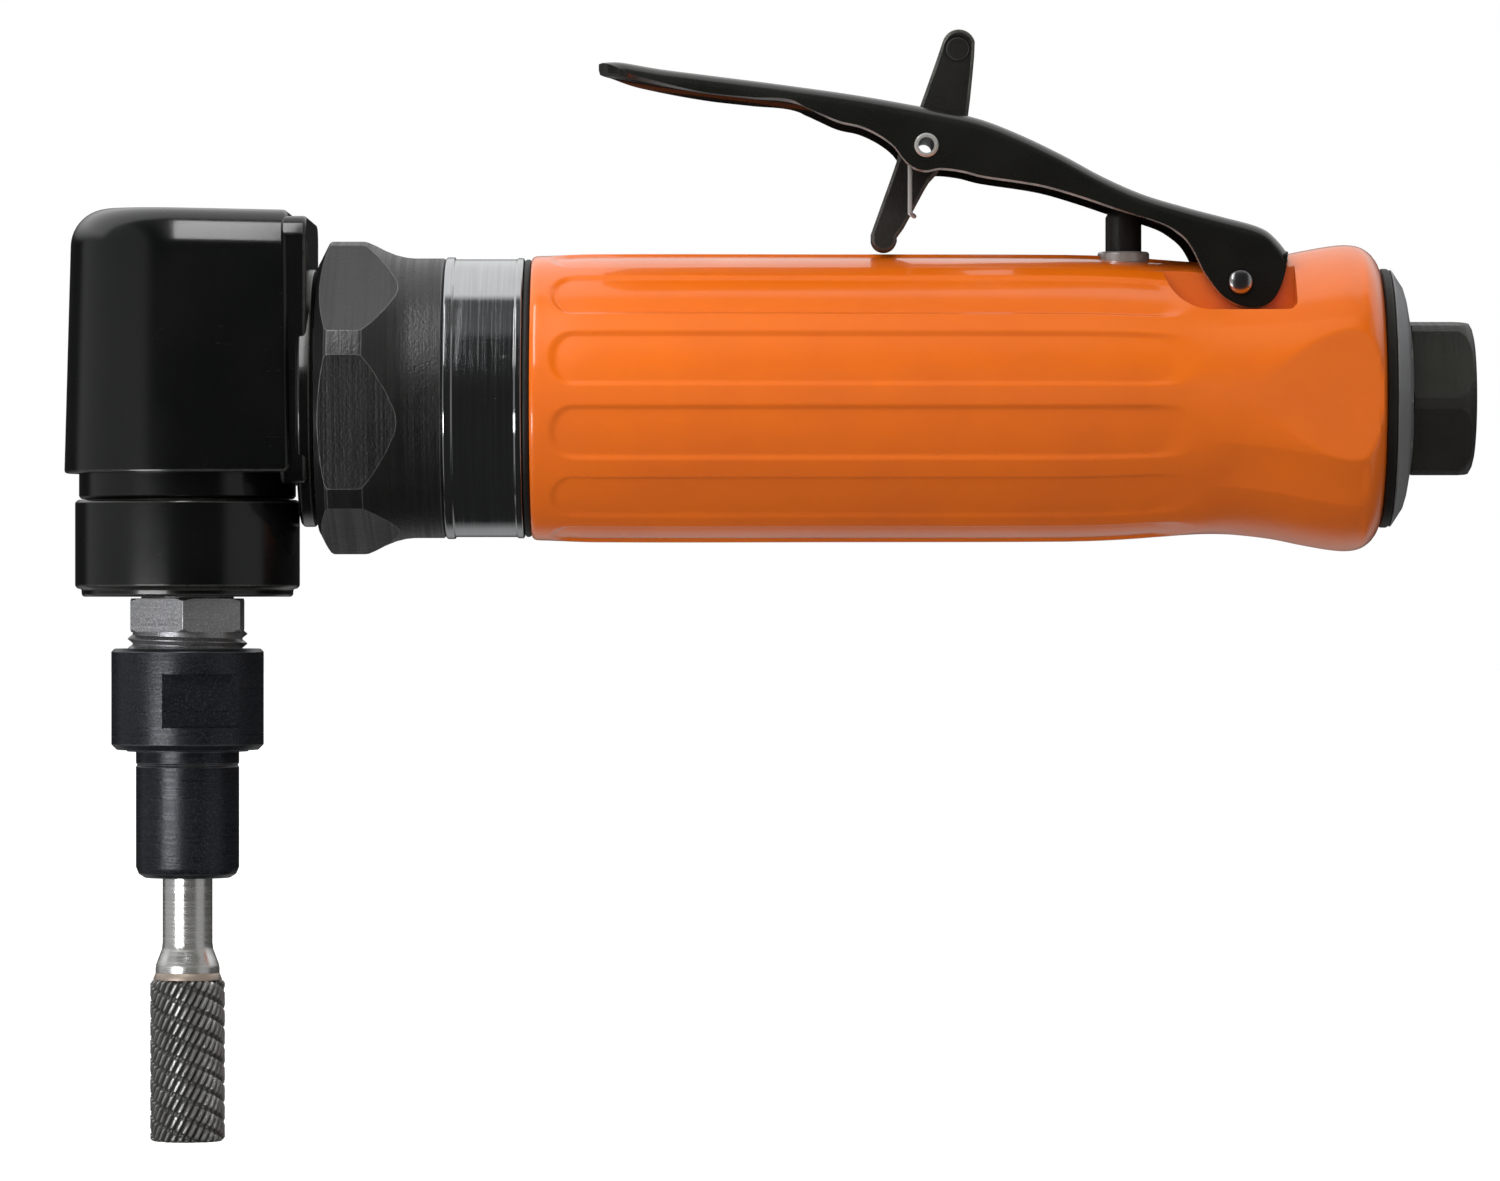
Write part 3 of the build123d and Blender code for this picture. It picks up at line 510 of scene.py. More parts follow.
# %% [markdown]
# The handle is a painted casting: a barrel with twelve shallow flutes, a waist, and a flared
# tail with broad facets and a wrench flat on each side. A finely spun barrel is pressed in by
# smooth depth functions. They give the soft edges of thick paint, which a hard cut would not.

# %% The handle's barrel
HANDLE_CURVE = [(44.0, 17.75), (44.35, 18.05), (46.0, 18.14), (52.0, 18.36), (82.0, 18.35),
                (112.0, 18.28), (118.5, 18.05), (124.0, 17.66), (127.5, 17.40), (130.4, 17.30),
                (133.5, 17.42), (138.0, 17.95), (142.0, 18.75), (145.5, 19.35), (147.6, 19.50),
                (149.2, 19.25), (150.4, 18.55), (151.2, 17.6), (151.65, 16.6), (151.8, 15.8)]


def curve_at(table, x):
    """Read a smooth (Catmull-Rom) curve through a table of points at x."""
    last = len(table) - 2
    k = next((i for i in range(last + 1) if x <= table[i + 1][0]), last)
    p0, p1, p2, p3 = (table[max(0, k - 1)], table[k], table[k + 1], table[min(last + 1, k + 2)])
    t = (x - p1[0]) / (p2[0] - p1[0])
    span = p2[0] - p1[0]
    m1 = (p2[1] - p0[1]) / (p2[0] - p0[0]) * span
    m2 = (p3[1] - p1[1]) / (p3[0] - p1[0]) * span
    return ((2 * t ** 3 - 3 * t ** 2 + 1) * p1[1] + (t ** 3 - 2 * t ** 2 + t) * m1
            + (3 * t ** 2 - 2 * t ** 3) * p2[1] + (t ** 3 - t ** 2) * m2)


FLUTE_DEPTH = 0.36
WRENCH_FLAT = 17.62
EDGE_BLEND = 0.10


def flute_depth(station, angle):
    """How far a flute is pressed in at a place on the barrel, in millimetres."""
    off = abs(angle % 30 - 15)
    across = 1 - smooth_step(off, 9.5, 11.05)
    rounded = sqrt(max(0.0, 1 - min(1.0, off / 11.0) ** 2))
    front = smooth_step(station, 46.3 + 3.2 * (1 - rounded), 47.3 + 3.2 * (1 - rounded))
    back_end = 124.5 + 4.5 * rounded
    back = 1 - smooth_step(station, back_end - 5.0, back_end)
    return FLUTE_DEPTH * across * front * back


def facet_depth(station, elevation):
    """How far the tail's broad facets are pressed in, by the angle above the side."""
    along = smooth_step(station, 128.5, 134.0) * (1 - smooth_step(station, 148.5, 149.7))
    turn = 0.26 * (station - 131)
    low_ridge = -41.0 - turn
    side = (low_ridge + 10.5, 10.5, 0.42)
    under = ((low_ridge - 90) / 2, (low_ridge + 90) / 2, 0.50)
    shoulder = (54.0, 24.0, 0.42)
    for middle, half, depth in (side, under, shoulder):
        off = abs(elevation - middle) / half
        if off < 1:
            return depth * (1 - off * off) * along
    return 0.0


def shape_barrel(bm):
    """Press in the flutes and the tail's facets, and mill the soft-edged wrench flats."""
    for v in bm.verts:
        station = v.co.x / MM - SPINDLE_X
        radius = sqrt(v.co.y ** 2 + v.co.z ** 2) / MM
        if radius < 14.2 and station < 151:
            continue
        angle = (atan2(v.co.z, v.co.y) * 180 / pi) % 360
        elevation = atan2(v.co.z, abs(v.co.y)) * 180 / pi
        scale = (radius - flute_depth(station, angle) - facet_depth(station, elevation)) / radius
        y, z = v.co.y * scale, v.co.z * scale
        flat, blend = WRENCH_FLAT * MM, EDGE_BLEND * MM
        if station > 132 and abs(y) > flat - 3 * blend:
            side = 1 if y > 0 else -1
            over = (abs(y) - flat) / blend
            y = side * (flat + blend * (over - sqrt(over * over + 1)) / 2)
        v.co.y, v.co.z = y, z


stations = ([44.0, 44.1, 44.25] + [44.5 + 0.35 * k for k in range(20)]
            + [52.0 + 6.0 * k for k in range(11)] + [115.0 + 0.38 * k for k in range(95)]
            + [151.2, 151.4, 151.6, 151.72, 151.8])
outline = [(s, curve_at(HANDLE_CURVE, s)) for s in stations]
outline += [(151.8, 14.6), (150.5, 14.6), (150.5, 9.0), (151.8, 9.0), (151.8, 7.0), (147.0, 7.0),
            (147.0, 2.0), (60.0, 2.0), (60.0, 14.5), (44.0, 14.5)]
barrel = turned(outline, steps=480)
shape_barrel(barrel)
print("barrel rings:", len(stations))

# %% [markdown]
# The lever straddles a narrow tab on top of the casting, so each side has a pocket with a
# round front end and a square back. The pockets and the valve's stepped bore are true cuts.

# %% Pockets and holes in the handle
def arc(centre, radius, first, last, count=12):
    """Points along an arc, angles in degrees."""
    turns = [radians(first + (last - first) * k / count) for k in range(count + 1)]
    return [(centre[0] + radius * cos(t), centre[1] + radius * sin(t)) for t in turns]


pocket_outline = (arc((129.9, 16.9), 6.0, 180, 270, 20) + arc((139.4, 12.1), 1.2, 270, 360, 8)
                  + [(140.6, 24.0), (123.9, 24.0)])
pockets = [plate(pocket_outline, 6.0, side * 13.3) for side in (-1, 1)]
valve_hole = rod(3.42, (at(VALVE), 0, 12), (at(VALVE), 0, 24))
valve_bore = rod(3.05, (at(VALVE), 0, -9), (at(VALVE), 0, 13))
handle = carve(barrel, *pockets, valve_hole, valve_bore)
piece("handle_casting", handle, orange_enamel, "body", ["motor_housing"],
      smooth=38)

# %% [markdown]
# Between handle and nut sits a polished ring with a small lip at each end and a rubber ring
# behind it. Its long bright and dark bands come from the mirror finish, so the shape only
# needs true cylinders with lightly broken edges.

# %% Clamp ring and its seal
ring = turned([(33.05, 14.6), (33.05, 17.78), (33.25, 17.95), (34.15, 17.95), (34.3, 17.7), (42.05, 17.7),
               (42.2, 17.86), (42.85, 17.86), (43.0, 17.7), (43.0, 14.6)], steps=160)
soften(ring, 0.07, 2, 12)
piece("clamp_ring_band", ring, polished_steel, "body", ["clamp_ring"])
bead = turned([(43.0, 16.2)] + arc((43.5, 17.2), 0.5, 180, 0, 10) + [(44.0, 16.2)], steps=128)
piece("handle_o_ring", bead, seal_rubber, "body", ["ring_seal"])

# %% [markdown]
# The coupling nut is turned to a collar that sweeps down to the ring, then six wrench flats
# are milled. Where flat and sweep meet, the edge is a long curved line, so the flats are real
# plane cuts through the turned shape.

# %% Coupling nut
NUT_CURVE = [(16.9, 17.1), (17.1, 17.45), (18.25, 19.75), (18.6, 20.0), (22.5, 20.0), (23.0, 19.93),
             (24.0, 19.45), (25.2, 18.82), (26.6, 18.25), (27.9, 17.93), (29.0, 17.82), (32.75, 17.82),
             (33.0, 17.6)]
nut = turned(NUT_CURVE + [(33.0, 15.0), (16.9, 15.0)], steps=240)
slice_flats(nut, (0, 0, 0), ring_of_normals(6, 10.8), 18.07)
soften(nut, 0.16, 2, 9)
piece("coupling_nut_hex", nut, phosphate, "body", ["coupling_nut"], smooth=24)

# %% [markdown]
# The angle head is a die-cast block with a half-round nose. It is drafted a little, so that
# it leaves its mould, and all its top edge is well rounded. A round plan pulled flat at the
# back, extruded and bevelled gives just that.

# %% Angle head
NOSE_R = 15.66
HEAD_TALL = 33.75
DRAFT_FRONT, DRAFT_BACK, DRAFT_SIDE = 0.940, 0.97, 0.95


def head_block():
    """The drafted block with its half-round nose and rounded top."""
    bm = bmesh.new()
    nose = [bm.verts.new(Vector((x, y, 0)) * MM) for x, y in arc((0, 0), NOSE_R, 90, 270, 64)]
    nose += [bm.verts.new(Vector((13.9, y, 0)) * MM) for y in (-NOSE_R, NOSE_R)]
    grown = bmesh.ops.extrude_face_region(bm, geom=[bm.faces.new(nose)])
    top = [g for g in grown["geom"] if isinstance(g, bmesh.types.BMVert)]
    for v in top:
        v.co.z += (HEAD_TALL - 0.020 * (v.co.x / MM + 15)) * MM
        v.co.x *= DRAFT_FRONT if v.co.x < 0 else DRAFT_BACK
        v.co.y *= DRAFT_SIDE
    bmesh.ops.translate(bm, verts=bm.verts, vec=Vector((SPINDLE_X, 0, -9.6)) * MM)
    bmesh.ops.remove_doubles(bm, verts=bm.verts, dist=1e-6)
    bmesh.ops.recalc_face_normals(bm, faces=bm.faces)
    return bm


def at_the_back(edge):
    """True for the edges round the head's back face."""
    return all(v.co.x > at(12.5) * MM for v in edge.verts)


def on_top(edge):
    """True for the top face's rim, but not where it meets the back."""
    return all(v.co.z > 22.5 * MM for v in edge.verts) and not at_the_back(edge)


head = head_block()
soften(head, 4.8, 12, 40, on_top, clamp=False)
soften(head, 0.8, 4, 50, at_the_back)
soften(head, 0.35, 2, 30, lambda e: all(v.co.z < -9 * MM for v in e.verts))


def slab(low, high, corner, segments=5):
    """A block between two corners in millimetres, its edges along X rounded."""
    bm = bmesh.new()
    bmesh.ops.create_cube(bm, size=1.0)
    size = (Vector(high) - Vector(low)) * MM
    middle = (Vector(low) + Vector(high)) / 2 * MM
    bmesh.ops.transform(bm, verts=bm.verts,
                        matrix=Matrix.Translation(middle) @ Matrix.Diagonal((*size, 1)))
    along = [e for e in bm.edges if abs(e.verts[0].co.x - e.verts[1].co.x) > size.x * 0.9]
    bmesh.ops.bevel(bm, geom=along, offset=corner * MM, offset_type="OFFSET", affect="EDGES",
                    segments=segments, profile=0.5, material=-1, clamp_overlap=True)
    return bm


back_plate = slab((at(12.6), -14.6, -11.0), (at(15.9), 14.6, 22.7), 2.6)
soften(back_plate, 0.45, 3, 40)
flange = turned([(14.6, 1.0), (14.6, 16.0), (15.0, 16.4), (16.3, 16.4), (16.7, 16.0), (16.7, 1.0)],
                steps=128)
soften(flange, 0.12, 2, 30)
neck = turned([(-9.0, 11.7), (-9.0, 13.8), (-12.5, 13.8), (-12.85, 13.5), (-12.85, 11.7)],
              "Z", 128)
piece("angle_head", joined(head, back_plate, flange, neck), black_enamel, "body",
      ["head_housing"], smooth=34)

# %% [markdown]
# Under the neck a screwed cap holds the spindle's lower bearing. It is a plain polished drum
# with a stepped lip and a fine seam at its top.

# %% Bearing cap
cap = turned([(-12.95, 11.0), (-12.95, 13.9), (-13.3, 14.3), (-23.9, 14.3), (-24.25, 14.0),
              (-24.35, 13.5), (-25.05, 13.45), (-25.3, 13.2), (-25.3, 8.6), (-24.3, 8.4),
              (-24.3, 6.3), (-22.0, 6.3)], "Z", 160)
soften(cap, 0.14, 3, 25)
piece("bearing_cap", cap, black_enamel, "body", ["spindle_cap"])

# %% [markdown]
# The spindle shows a hexagon for the wrench and the first turns of its thread. The hexagon is
# milled from a turned blank with a chamfer, so its corners end in small arcs. The thread is a
# ridge spun along a helix.

# %% Spindle
SPINDLE_CENTRE = (SPINDLE_X * MM, 0, 0)
wrench_hex = turned([(-25.5, 0), (-25.5, 7.5), (-25.8, 8.05), (-29.4, 8.05), (-29.8, 7.6),
                     (-29.8, 0)], "Z", 192)
slice_flats(wrench_hex, SPINDLE_CENTRE, ring_of_normals(6, 0, "Z"), 7.0)
soften(wrench_hex, 0.12, 2, 20)
shaft_top = turned([(-12.0, 0), (-12.0, 5.0), (-21.2, 5.0), (-21.2, 5.9), (-25.5, 5.9),
                    (-25.5, 0)], "Z", 64)
shaft_low = turned([(-29.6, 0), (-29.6, 7.0), (-43.0, 7.0), (-43.0, 5.4), (-40.0, 5.4),
                    (-40.0, 0)], "Z", 96)
SPINDLE_PITCH, SPINDLE_TURNS = 1.25, 3.2
SPINDLE_TOOTH = [spot(-30.0 + a, r, "Z") for a, r in
                 ((0.575, 6.95), (0.06, 7.6), (-0.06, 7.6), (-0.575, 6.95))]
thread = screwed(SPINDLE_TOOTH, SPINDLE_CENTRE, (0, 0, 1), -SPINDLE_PITCH * SPINDLE_TURNS,
                 SPINDLE_TURNS, 64)
piece("drive_spindle", joined(wrench_hex, shaft_top, shaft_low, thread), spindle_steel, "spindle",
      ["spindle"])

# %% [markdown]
# The collet nut has a wide collar with two milled wrench flats and a slimmer barrel below.
# The flats are pockets that do not reach the ends, so a cutter block is subtracted for each.

# %% Collet nut
def jaw_block(turn, distance):
    """A block that mills one flat of the collet nut, its normal at an angle about Z."""
    bm = slab((distance, -8.5, -41.9), (distance + 6, 8.5, -35.1), 0.5, 3)
    bmesh.ops.rotate(bm, verts=bm.verts, cent=(0, 0, 0),
                     matrix=Matrix.Rotation(radians(turn), 3, "Z"))
    bmesh.ops.translate(bm, verts=bm.verts, vec=SPINDLE_CENTRE)
    return bm


nut_body = turned([(-31.9, 7.75), (-31.9, 9.3), (-32.3, 9.7), (-34.9, 9.7), (-42.1, 9.7),
                   (-44.1, 9.7), (-44.8, 9.0), (-44.8, 6.7), (-45.0, 6.57), (-46.5, 6.57),
                   (-46.62, 6.42), (-46.8, 6.42), (-46.92, 6.57), (-59.7, 6.57), (-60.6, 6.2),
                   (-61.1, 5.4), (-61.1, 3.6), (-45.0, 3.6), (-45.0, 7.75)], "Z", 160)
soften(nut_body, 0.13, 3, 25)
nut_milled = carve(nut_body, jaw_block(-75, 8.4), jaw_block(105, 8.4))
piece("collet_nut_body", nut_milled, collet_oxide, "spindle", ["collet_nut"], smooth=30)

# %% [markdown]
# The bur is a ground shank that flares to a short neck, where the carbide is brazed on. The
# cutter is double cut: right-hand flutes crossed by fine chip breakers. The cylinder's own
# columns are twisted to run along the flutes, so that each cutting edge stays sharp.

# %% Bur shank
shank = turned([(-40.0, 0), (-40.0, 3.175), (-69.4, 3.175), (-70.2, 3.28), (-71.2, 3.66), (-72.1, 4.0),
                (-72.6, 4.08), (-73.2, 4.08), (-73.2, 0)], "Z", 96)
piece("bur_shank_steel", shank, steel_along_z, "spindle", ["bur_shank"])
collar = turned([(-73.2, 0), (-73.2, 4.08), (-73.5, 4.2), (-74.1, 4.42), (-74.1, 0)], "Z", 96)
soften(collar, 0.08, 2, 25)
piece("bur_braze", collar, braze, "spindle")

# %% Carbide cutter
FLUTES = 29
COLUMNS = 7
HELIX_PER_MM = -0.115
BREAKERS = 5
BREAKER_PITCH = 2.4
RINGS = 150
TOOTH_DEPTH = 0.58
NOTCH_DEPTH = 0.36
CUTTER_TOP = -74.1
CUTTER_R = 4.76
CUTTER_LENGTH = 19.8


def tooth_profile(t):
    """Depth below the cutter's full radius across one tooth, t from 0 to 1."""
    rise = smooth_step(t, 0.0, 0.2) if t < 0.2 else 1 - smooth_step(t, 0.2, 0.78)
    return TOOTH_DEPTH * rise


def cut_teeth(bm):
    """Twist the cylinder's columns along the flutes, then press in flutes and chip breakers.
    The tooth tops are masked by height, for painted highlight on them and painted shade in the flutes.
    """
    painted_light_by_height = bm.loops.layers.float.get("rim") or bm.loops.layers.float.new("rim")
    height = {}
    for v in bm.verts:
        x, y, z = v.co.x / MM - SPINDLE_X, v.co.y / MM, v.co.z / MM
        radius = sqrt(x * x + y * y)
        if radius < 0.2:
            continue
        down = CUTTER_TOP - z
        column = atan2(y, x)
        phase = (column / (2 * pi) * FLUTES) % 1.0
        angle = column + HELIX_PER_MM * down
        breaker = (down / BREAKER_PITCH - angle * BREAKERS / (2 * pi)) % 1.0
        notch = NOTCH_DEPTH * (1 - smooth_step(abs(breaker - 0.5), 0.06, 0.17))
        inward = smooth_step(radius, 1.2, 4.0)
        depth = min(TOOTH_DEPTH, tooth_profile(phase) + notch) * inward
        height[v] = 1 - depth / TOOTH_DEPTH
        v.co.x = (SPINDLE_X + (radius - depth) * cos(angle)) * MM
        v.co.y = (radius - depth) * sin(angle) * MM
    # Mask each corner by its height: the cutter's finish paints the tooth tops light and leaves the flutes dark,
    # painted highlight on the edges and painted shade in the flutes.
    for face in bm.faces:
        for corner in face.loops:
            corner[painted_light_by_height] = height.get(corner.vert, 1.0) ** 2


drum = [(CUTTER_TOP, 0), (CUTTER_TOP, 4.3), (-74.25, 4.62), (-74.5, CUTTER_R)]
drum += [(-74.5 - CUTTER_LENGTH * k / RINGS, CUTTER_R) for k in range(1, RINGS)]
drum += [(-94.3, CUTTER_R), (-94.55, 4.60), (-94.66, 4.3), (-94.70, 3.4), (-94.70, 1.6), (-94.70, 0)]
cutter = turned(drum, "Z", FLUTES * COLUMNS)
cut_teeth(cutter)
piece("carbide_cutter", cutter, cutter_carbide, "spindle", ["bur_head"], smooth=24)

# %% [markdown]
# The lever is pressed from sheet: a gently bent paddle in front that turns into a channel
# whose side walls deepen towards the pivot. One grid is laid over its outer face and one over
# its inner face, the middle on the top curve and the edges folded down to the walls' lower
# line. Bridging their borders closes the sheet. The back part of that sheared border is painted
# light grey: partly wear, partly a painted highlight along the edge.

# %% Throttle lever
GAUGE = 1.2
FOLD_R = 2.5
SHEAR = 0.20
HALF_WIDTH = 9.0
TIP_NARROWER = 4.6
LEVER_LENGTH = 87.22
LATE = 0.55
LEVER_TOP = [(52.5, 42.30), (53.2, 42.48), (55.1, 42.4), (60.2, 41.55), (65.3, 40.9), (75.5, 39.6), (85.7, 38.15),
             (95.9, 36.3), (101.0, 35.15), (106.1, 33.15), (111.2, 30.7), (116.3, 27.95),
             (121.4, 25.7), (126.5, 24.15), (131.6, 22.8), (135.4, 21.8), (137.2, 21.0), (138.6, 19.7),
             (139.7, 18.3)]
LEVER_LOW = [(52.5, 41.50), (53.2, 41.25), (54.0, 41.1), (57.6, 40.0), (65.3, 38.5), (72.0, 37.7),
             (77.0, 37.2), (80.6, 35.8), (83.1, 34.8), (85.7, 34.2), (88.2, 33.0), (90.0, 31.6),
             (91.2, 30.0), (92.5, 28.95), (94.0, 28.6), (95.6, 28.9), (98.4, 28.6), (101.0, 27.95),
             (108.6, 26.75), (113.7, 25.3), (118.8, 23.55), (123.9, 21.9), (126.0, 20.7),
             (127.2, 19.5), (128.1, 17.9), (128.9, 16.2), (130.0, 14.5), (131.2, 13.0),
             (132.6, 12.0), (134.3, 11.35), (136.0, 11.3), (137.3, 11.8), (138.3, 12.9),
             (139.1, 14.8), (139.6, 16.8), (139.75, 17.6)]


def lever_section(station, share, depth):
    """(y, z) in millimetres at a share from -1 to 1 across the sheet. Depth 1 is its inner face."""
    top, low = curve_at(LEVER_TOP, station), curve_at(LEVER_LOW, station)
    half = HALF_WIDTH - TIP_NARROWER * (1 - smooth_step(station, 52.3, 57.0)) ** 2
    drop = max(0.3, top - low)
    gauge = min(GAUGE, drop)
    bend = acos(min(1.0, max(0.0, (FOLD_R - drop) / (FOLD_R - gauge))))
    straight = max(0.0, drop - FOLD_R)
    side = 1 if share > 0 else -1
    across = abs(share)
    inset = depth * gauge
    flat_y = half - FOLD_R * sin(bend)
    if across < 0.5:
        return side * flat_y * across / 0.5, top - inset
    turn = bend * min(1.0, (across - 0.5) / 0.25)
    y = flat_y + (FOLD_R - inset) * sin(turn)
    z = top - FOLD_R + (FOLD_R - inset) * cos(turn)
    down_wall = max(0.0, (across - 0.75) / 0.25)
    return side * y, z - (straight + SHEAR * depth * min(1.0, straight)) * down_wall


def pressed_face(depth, along=200, across=40):
    """A grid laid over one face of the sheet: depth 0 is the outer face and 1 the inner one."""
    bm = bmesh.new()
    bmesh.ops.create_grid(bm, x_segments=along, y_segments=across, size=1.0)
    for v in bm.verts:
        u = (v.co.x + 1) / 2
        late = max(0.0, (u - LATE) / (1 - LATE))
        share = min(u, LATE) + (1 - LATE) * (1 - (1 - late) ** 1.5)
        station = LEVER_TOP[0][0] + LEVER_LENGTH * share
        y, z = lever_section(station, v.co.y, depth)
        v.co = Vector((at(station), y, z)) * MM
    return bm


def pressed_sheet():
    """The outer and the inner face, bridged round their shared border."""
    bm = joined(pressed_face(0.0), pressed_face(1.0))
    sheared = bmesh.ops.bridge_loops(bm, edges=[e for e in bm.edges if e.is_boundary])
    # The sheared border is masked from station 74 to 82; the lever's finish paints it light grey there, a painted
    # highlight along the edge, partly wear.
    rim = bm.loops.layers.float.new("rim")
    for face in sheared["faces"]:
        for corner in face.loops:
            corner[rim] = smooth_step(corner.vert.co.x / MM, at(74.0), at(82.0))
    bmesh.ops.recalc_face_normals(bm, faces=bm.faces)
    return bm


sheet = pressed_sheet()
print("lever shell closed:", all(len(e.link_faces) == 2 for e in sheet.edges))
latch_slot = slab((28.0, -3.4, at(92.6)), (44.0, 3.4, at(105.6)), 1.2, 6)
for v in latch_slot.verts:
    v.co.x, v.co.z = v.co.z, v.co.x
bmesh.ops.recalc_face_normals(latch_slot, faces=latch_slot.faces)


def cross_rod(radius, place, inner, outer):
    """A rod along Y at a (station, z) place, between two distances from the middle plane."""
    return rod(radius, (at(place[0]), inner, place[1]), (at(place[0]), outer, place[1]))


lever_hole = cross_rod(1.60, LEVER_PIVOT, -12, 12)
latch_hole = cross_rod(1.53, LATCH_PIVOT, -12, 12)
lever = carve(sheet, latch_slot, lever_hole, latch_hole)
piece("lever_pressing", lever, lever_enamel, "lever", ["lever"], smooth=34)

# %% [markdown]
# The lever turns on a solid pin with polished, domed ends, and the latch on a hollow spring
# pin with chamfered ends. Both are turned.

# %% Pins
DOME = 0.62
PIN_CHAMFER = 0.22


def pin(radius, half, pivot, bore=0.0, steps=64):
    """A pin along Y, solid with domed ends, or hollow with chamfered ones."""
    if bore:
        end = [(-half, bore), (-half, radius - PIN_CHAMFER), (-half + PIN_CHAMFER, radius)]
    else:
        turns = [radians(9 * k) for k in range(11)]
        end = [(-half + DOME * (1 - cos(t)), radius * sin(t)) for t in turns]
    x, z = at(pivot[0]), pivot[1]
    outline = [Vector((x + r, y, z)) * MM for y, r in end + [(-y, r) for y, r in reversed(end)]]
    return spun(outline, Vector((x, 0, z)) * MM, (0, 1, 0), steps)


piece("lever_pivot_pin", pin(1.53, 9.85, LEVER_PIVOT), pin_steel, "body",
      ["lever_pin"])
piece("latch_roll_pin", pin(1.53, 9.3, LATCH_PIVOT, 1.0), spring_wire, "lever",
      ["latch_pin"])

# %% [markdown]
# The lock-off latch is a moulded plate that stands up through the lever for the thumb, and
# reaches down to block the lever against the handle. Its outline is drawn once and given its
# thickness, and all its edges are rounded for the finger.

# %% Lock-off latch
LATCH_OUTLINE = ([(92.8, 35.6), (93.28, 36.95), (94.15, 39.4), (94.93, 41.6), (95.6, 43.5)]
                 + arc((98.25, 44.75), 2.12, 165, 15, 12)
                 + [(100.22, 43.4), (100.0, 41.0), (99.7, 38.0), (99.4, 35.6), (98.2, 34.2),
                    (97.0, 32.6), (96.5, 30.6), (95.6, 28.7), (94.5, 27.5), (93.9, 26.5),
                    (93.2, 25.2), (92.4, 23.7), (91.3, 21.7), (90.35, 20.4)]
                 + arc((88.75, 20.27), 1.68, -12, -168, 12)
                 + [(87.1, 20.9), (88.2, 24.0), (89.5, 27.6), (90.4, 30.2), (90.9, 32.4), (91.8, 34.2)])
latch_body = plate(LATCH_OUTLINE, 2.95)
soften(latch_body, 0.42, 4, 50)
latch_bore = cross_rod(1.62, LATCH_PIVOT, -6, 6)
marks = [cross_rod(1.78, LATCH_MARK, side * 2.72, side * 4) for side in (-1, 1)]
buttons = [cross_rod(1.45, LATCH_MARK, side * 2.6, side * 2.92) for side in (-1, 1)]
for button in buttons:
    soften(button, 0.1, 2, 50)
latch_cut = carve(latch_body, latch_bore, *marks)
piece("latch_plate", joined(latch_cut, *buttons), latch_black, "latch", ["latch"],
      smooth=40)

# %% [markdown]
# A small torsion spring round the latch's pin holds it upright. Its wire is a circle carried
# round a helix, and a straight leg hooks the back edge of the latch.

# %% Latch spring
WIRE_R = 0.30
COIL_TURNS = 3.0
COIL_ADVANCE = 0.66 * COIL_TURNS


def wire_section(centre, sides=14):
    """The round section of the wire, lying flat at a point in metres."""
    turns = [2 * pi * k / sides for k in range(sides)]
    return [centre + Vector((-sin(t), cos(t), 0)) * WIRE_R * MM for t in turns]


x, z = at(LATCH_PIVOT[0]), LATCH_PIVOT[1]
spring_coil = screwed(wire_section(Vector((x + 2.05, -5.4, z)) * MM), Vector((x, 0, z)) * MM,
                      (0, 1, 0), COIL_ADVANCE, COIL_TURNS, 40)
spring_leg = rod(WIRE_R, (at(92.0), -5.2, 31.9), (at(92.0), -4.6, 23.4), 14)
spring_hook = rod(WIRE_R, (at(92.0), -4.6, 23.4), (at(92.6), -2.0, 23.1), 14)
piece("latch_torsion_spring", joined(spring_coil, spring_leg, spring_hook), spring_wire, "latch",
      ["latch_spring"])

# %% [markdown]
# Under the lever the valve's stem rises from a small flanged bushing. Both are turned.

# %% Valve stem and bushing
def upright(points):
    """A turned piece standing along Z at the valve's station."""
    bm = turned(points, "Z", 64)
    bmesh.ops.translate(bm, verts=bm.verts, vec=(VALVE * MM, 0, 0))
    return bm


stem = upright([(5.8, 0), (5.8, 1.2), (13.4, 1.2), (13.4, 2.3), (23.0, 2.3), (23.6, 1.95),
                (23.95, 1.3), (24.1, 0)])
piece("valve_stem_pin", stem, stem_black, "stem", ["valve_stem"])
bush = upright([(14.6, 2.42), (14.6, 2.9), (17.3, 2.9), (17.3, 3.3), (18.4, 3.3), (18.65, 3.1),
                (18.65, 2.42)])
soften(bush, 0.08, 2, 30)
piece("valve_stem_bushing", bush, spring_wire, "body", ["valve_bushing"])

# %% [markdown]
# The tail is closed by a rubber ring, a domed cover with a ring of exhaust holes, and the
# hexagonal bushing that takes the air hose. The hexagon is milled from a bar that is slimmer
# than its corners and turned down at its end, so the corners stay round and each flat ends in
# an arc.

# %% Tail seal and exhaust cover
tail_seal = turned([(151.7, 14.7), (151.7, 16.1), (152.0, 16.5), (152.75, 16.5), (153.05, 16.25),
                    (153.05, 14.7)], steps=128)
soften(tail_seal, 0.12, 2, 25)
piece("tail_seal", tail_seal, seal_rubber, "body", ["rear_seal"])
cover = turned([(152.0, 7.1), (152.0, 14.5), (153.1, 14.5), (153.1, 16.3), (153.25, 16.4), (154.65, 14.25),
                (155.0, 13.1), (155.6, 9.9), (155.68, 9.0), (155.68, 7.1)], steps=160)
soften(cover, 0.15, 3, 22)
VENT_CIRCLE = 11.6
vents = [rod(0.9, (at(151), VENT_CIRCLE * y, VENT_CIRCLE * z),
             (at(158), VENT_CIRCLE * y, VENT_CIRCLE * z), 24)
         for _, y, z in ring_of_normals(12, 0)]
cover = carve(cover, *vents)
piece("exhaust_cover_plate", cover, cover_grey, "body", ["exhaust_cover"])

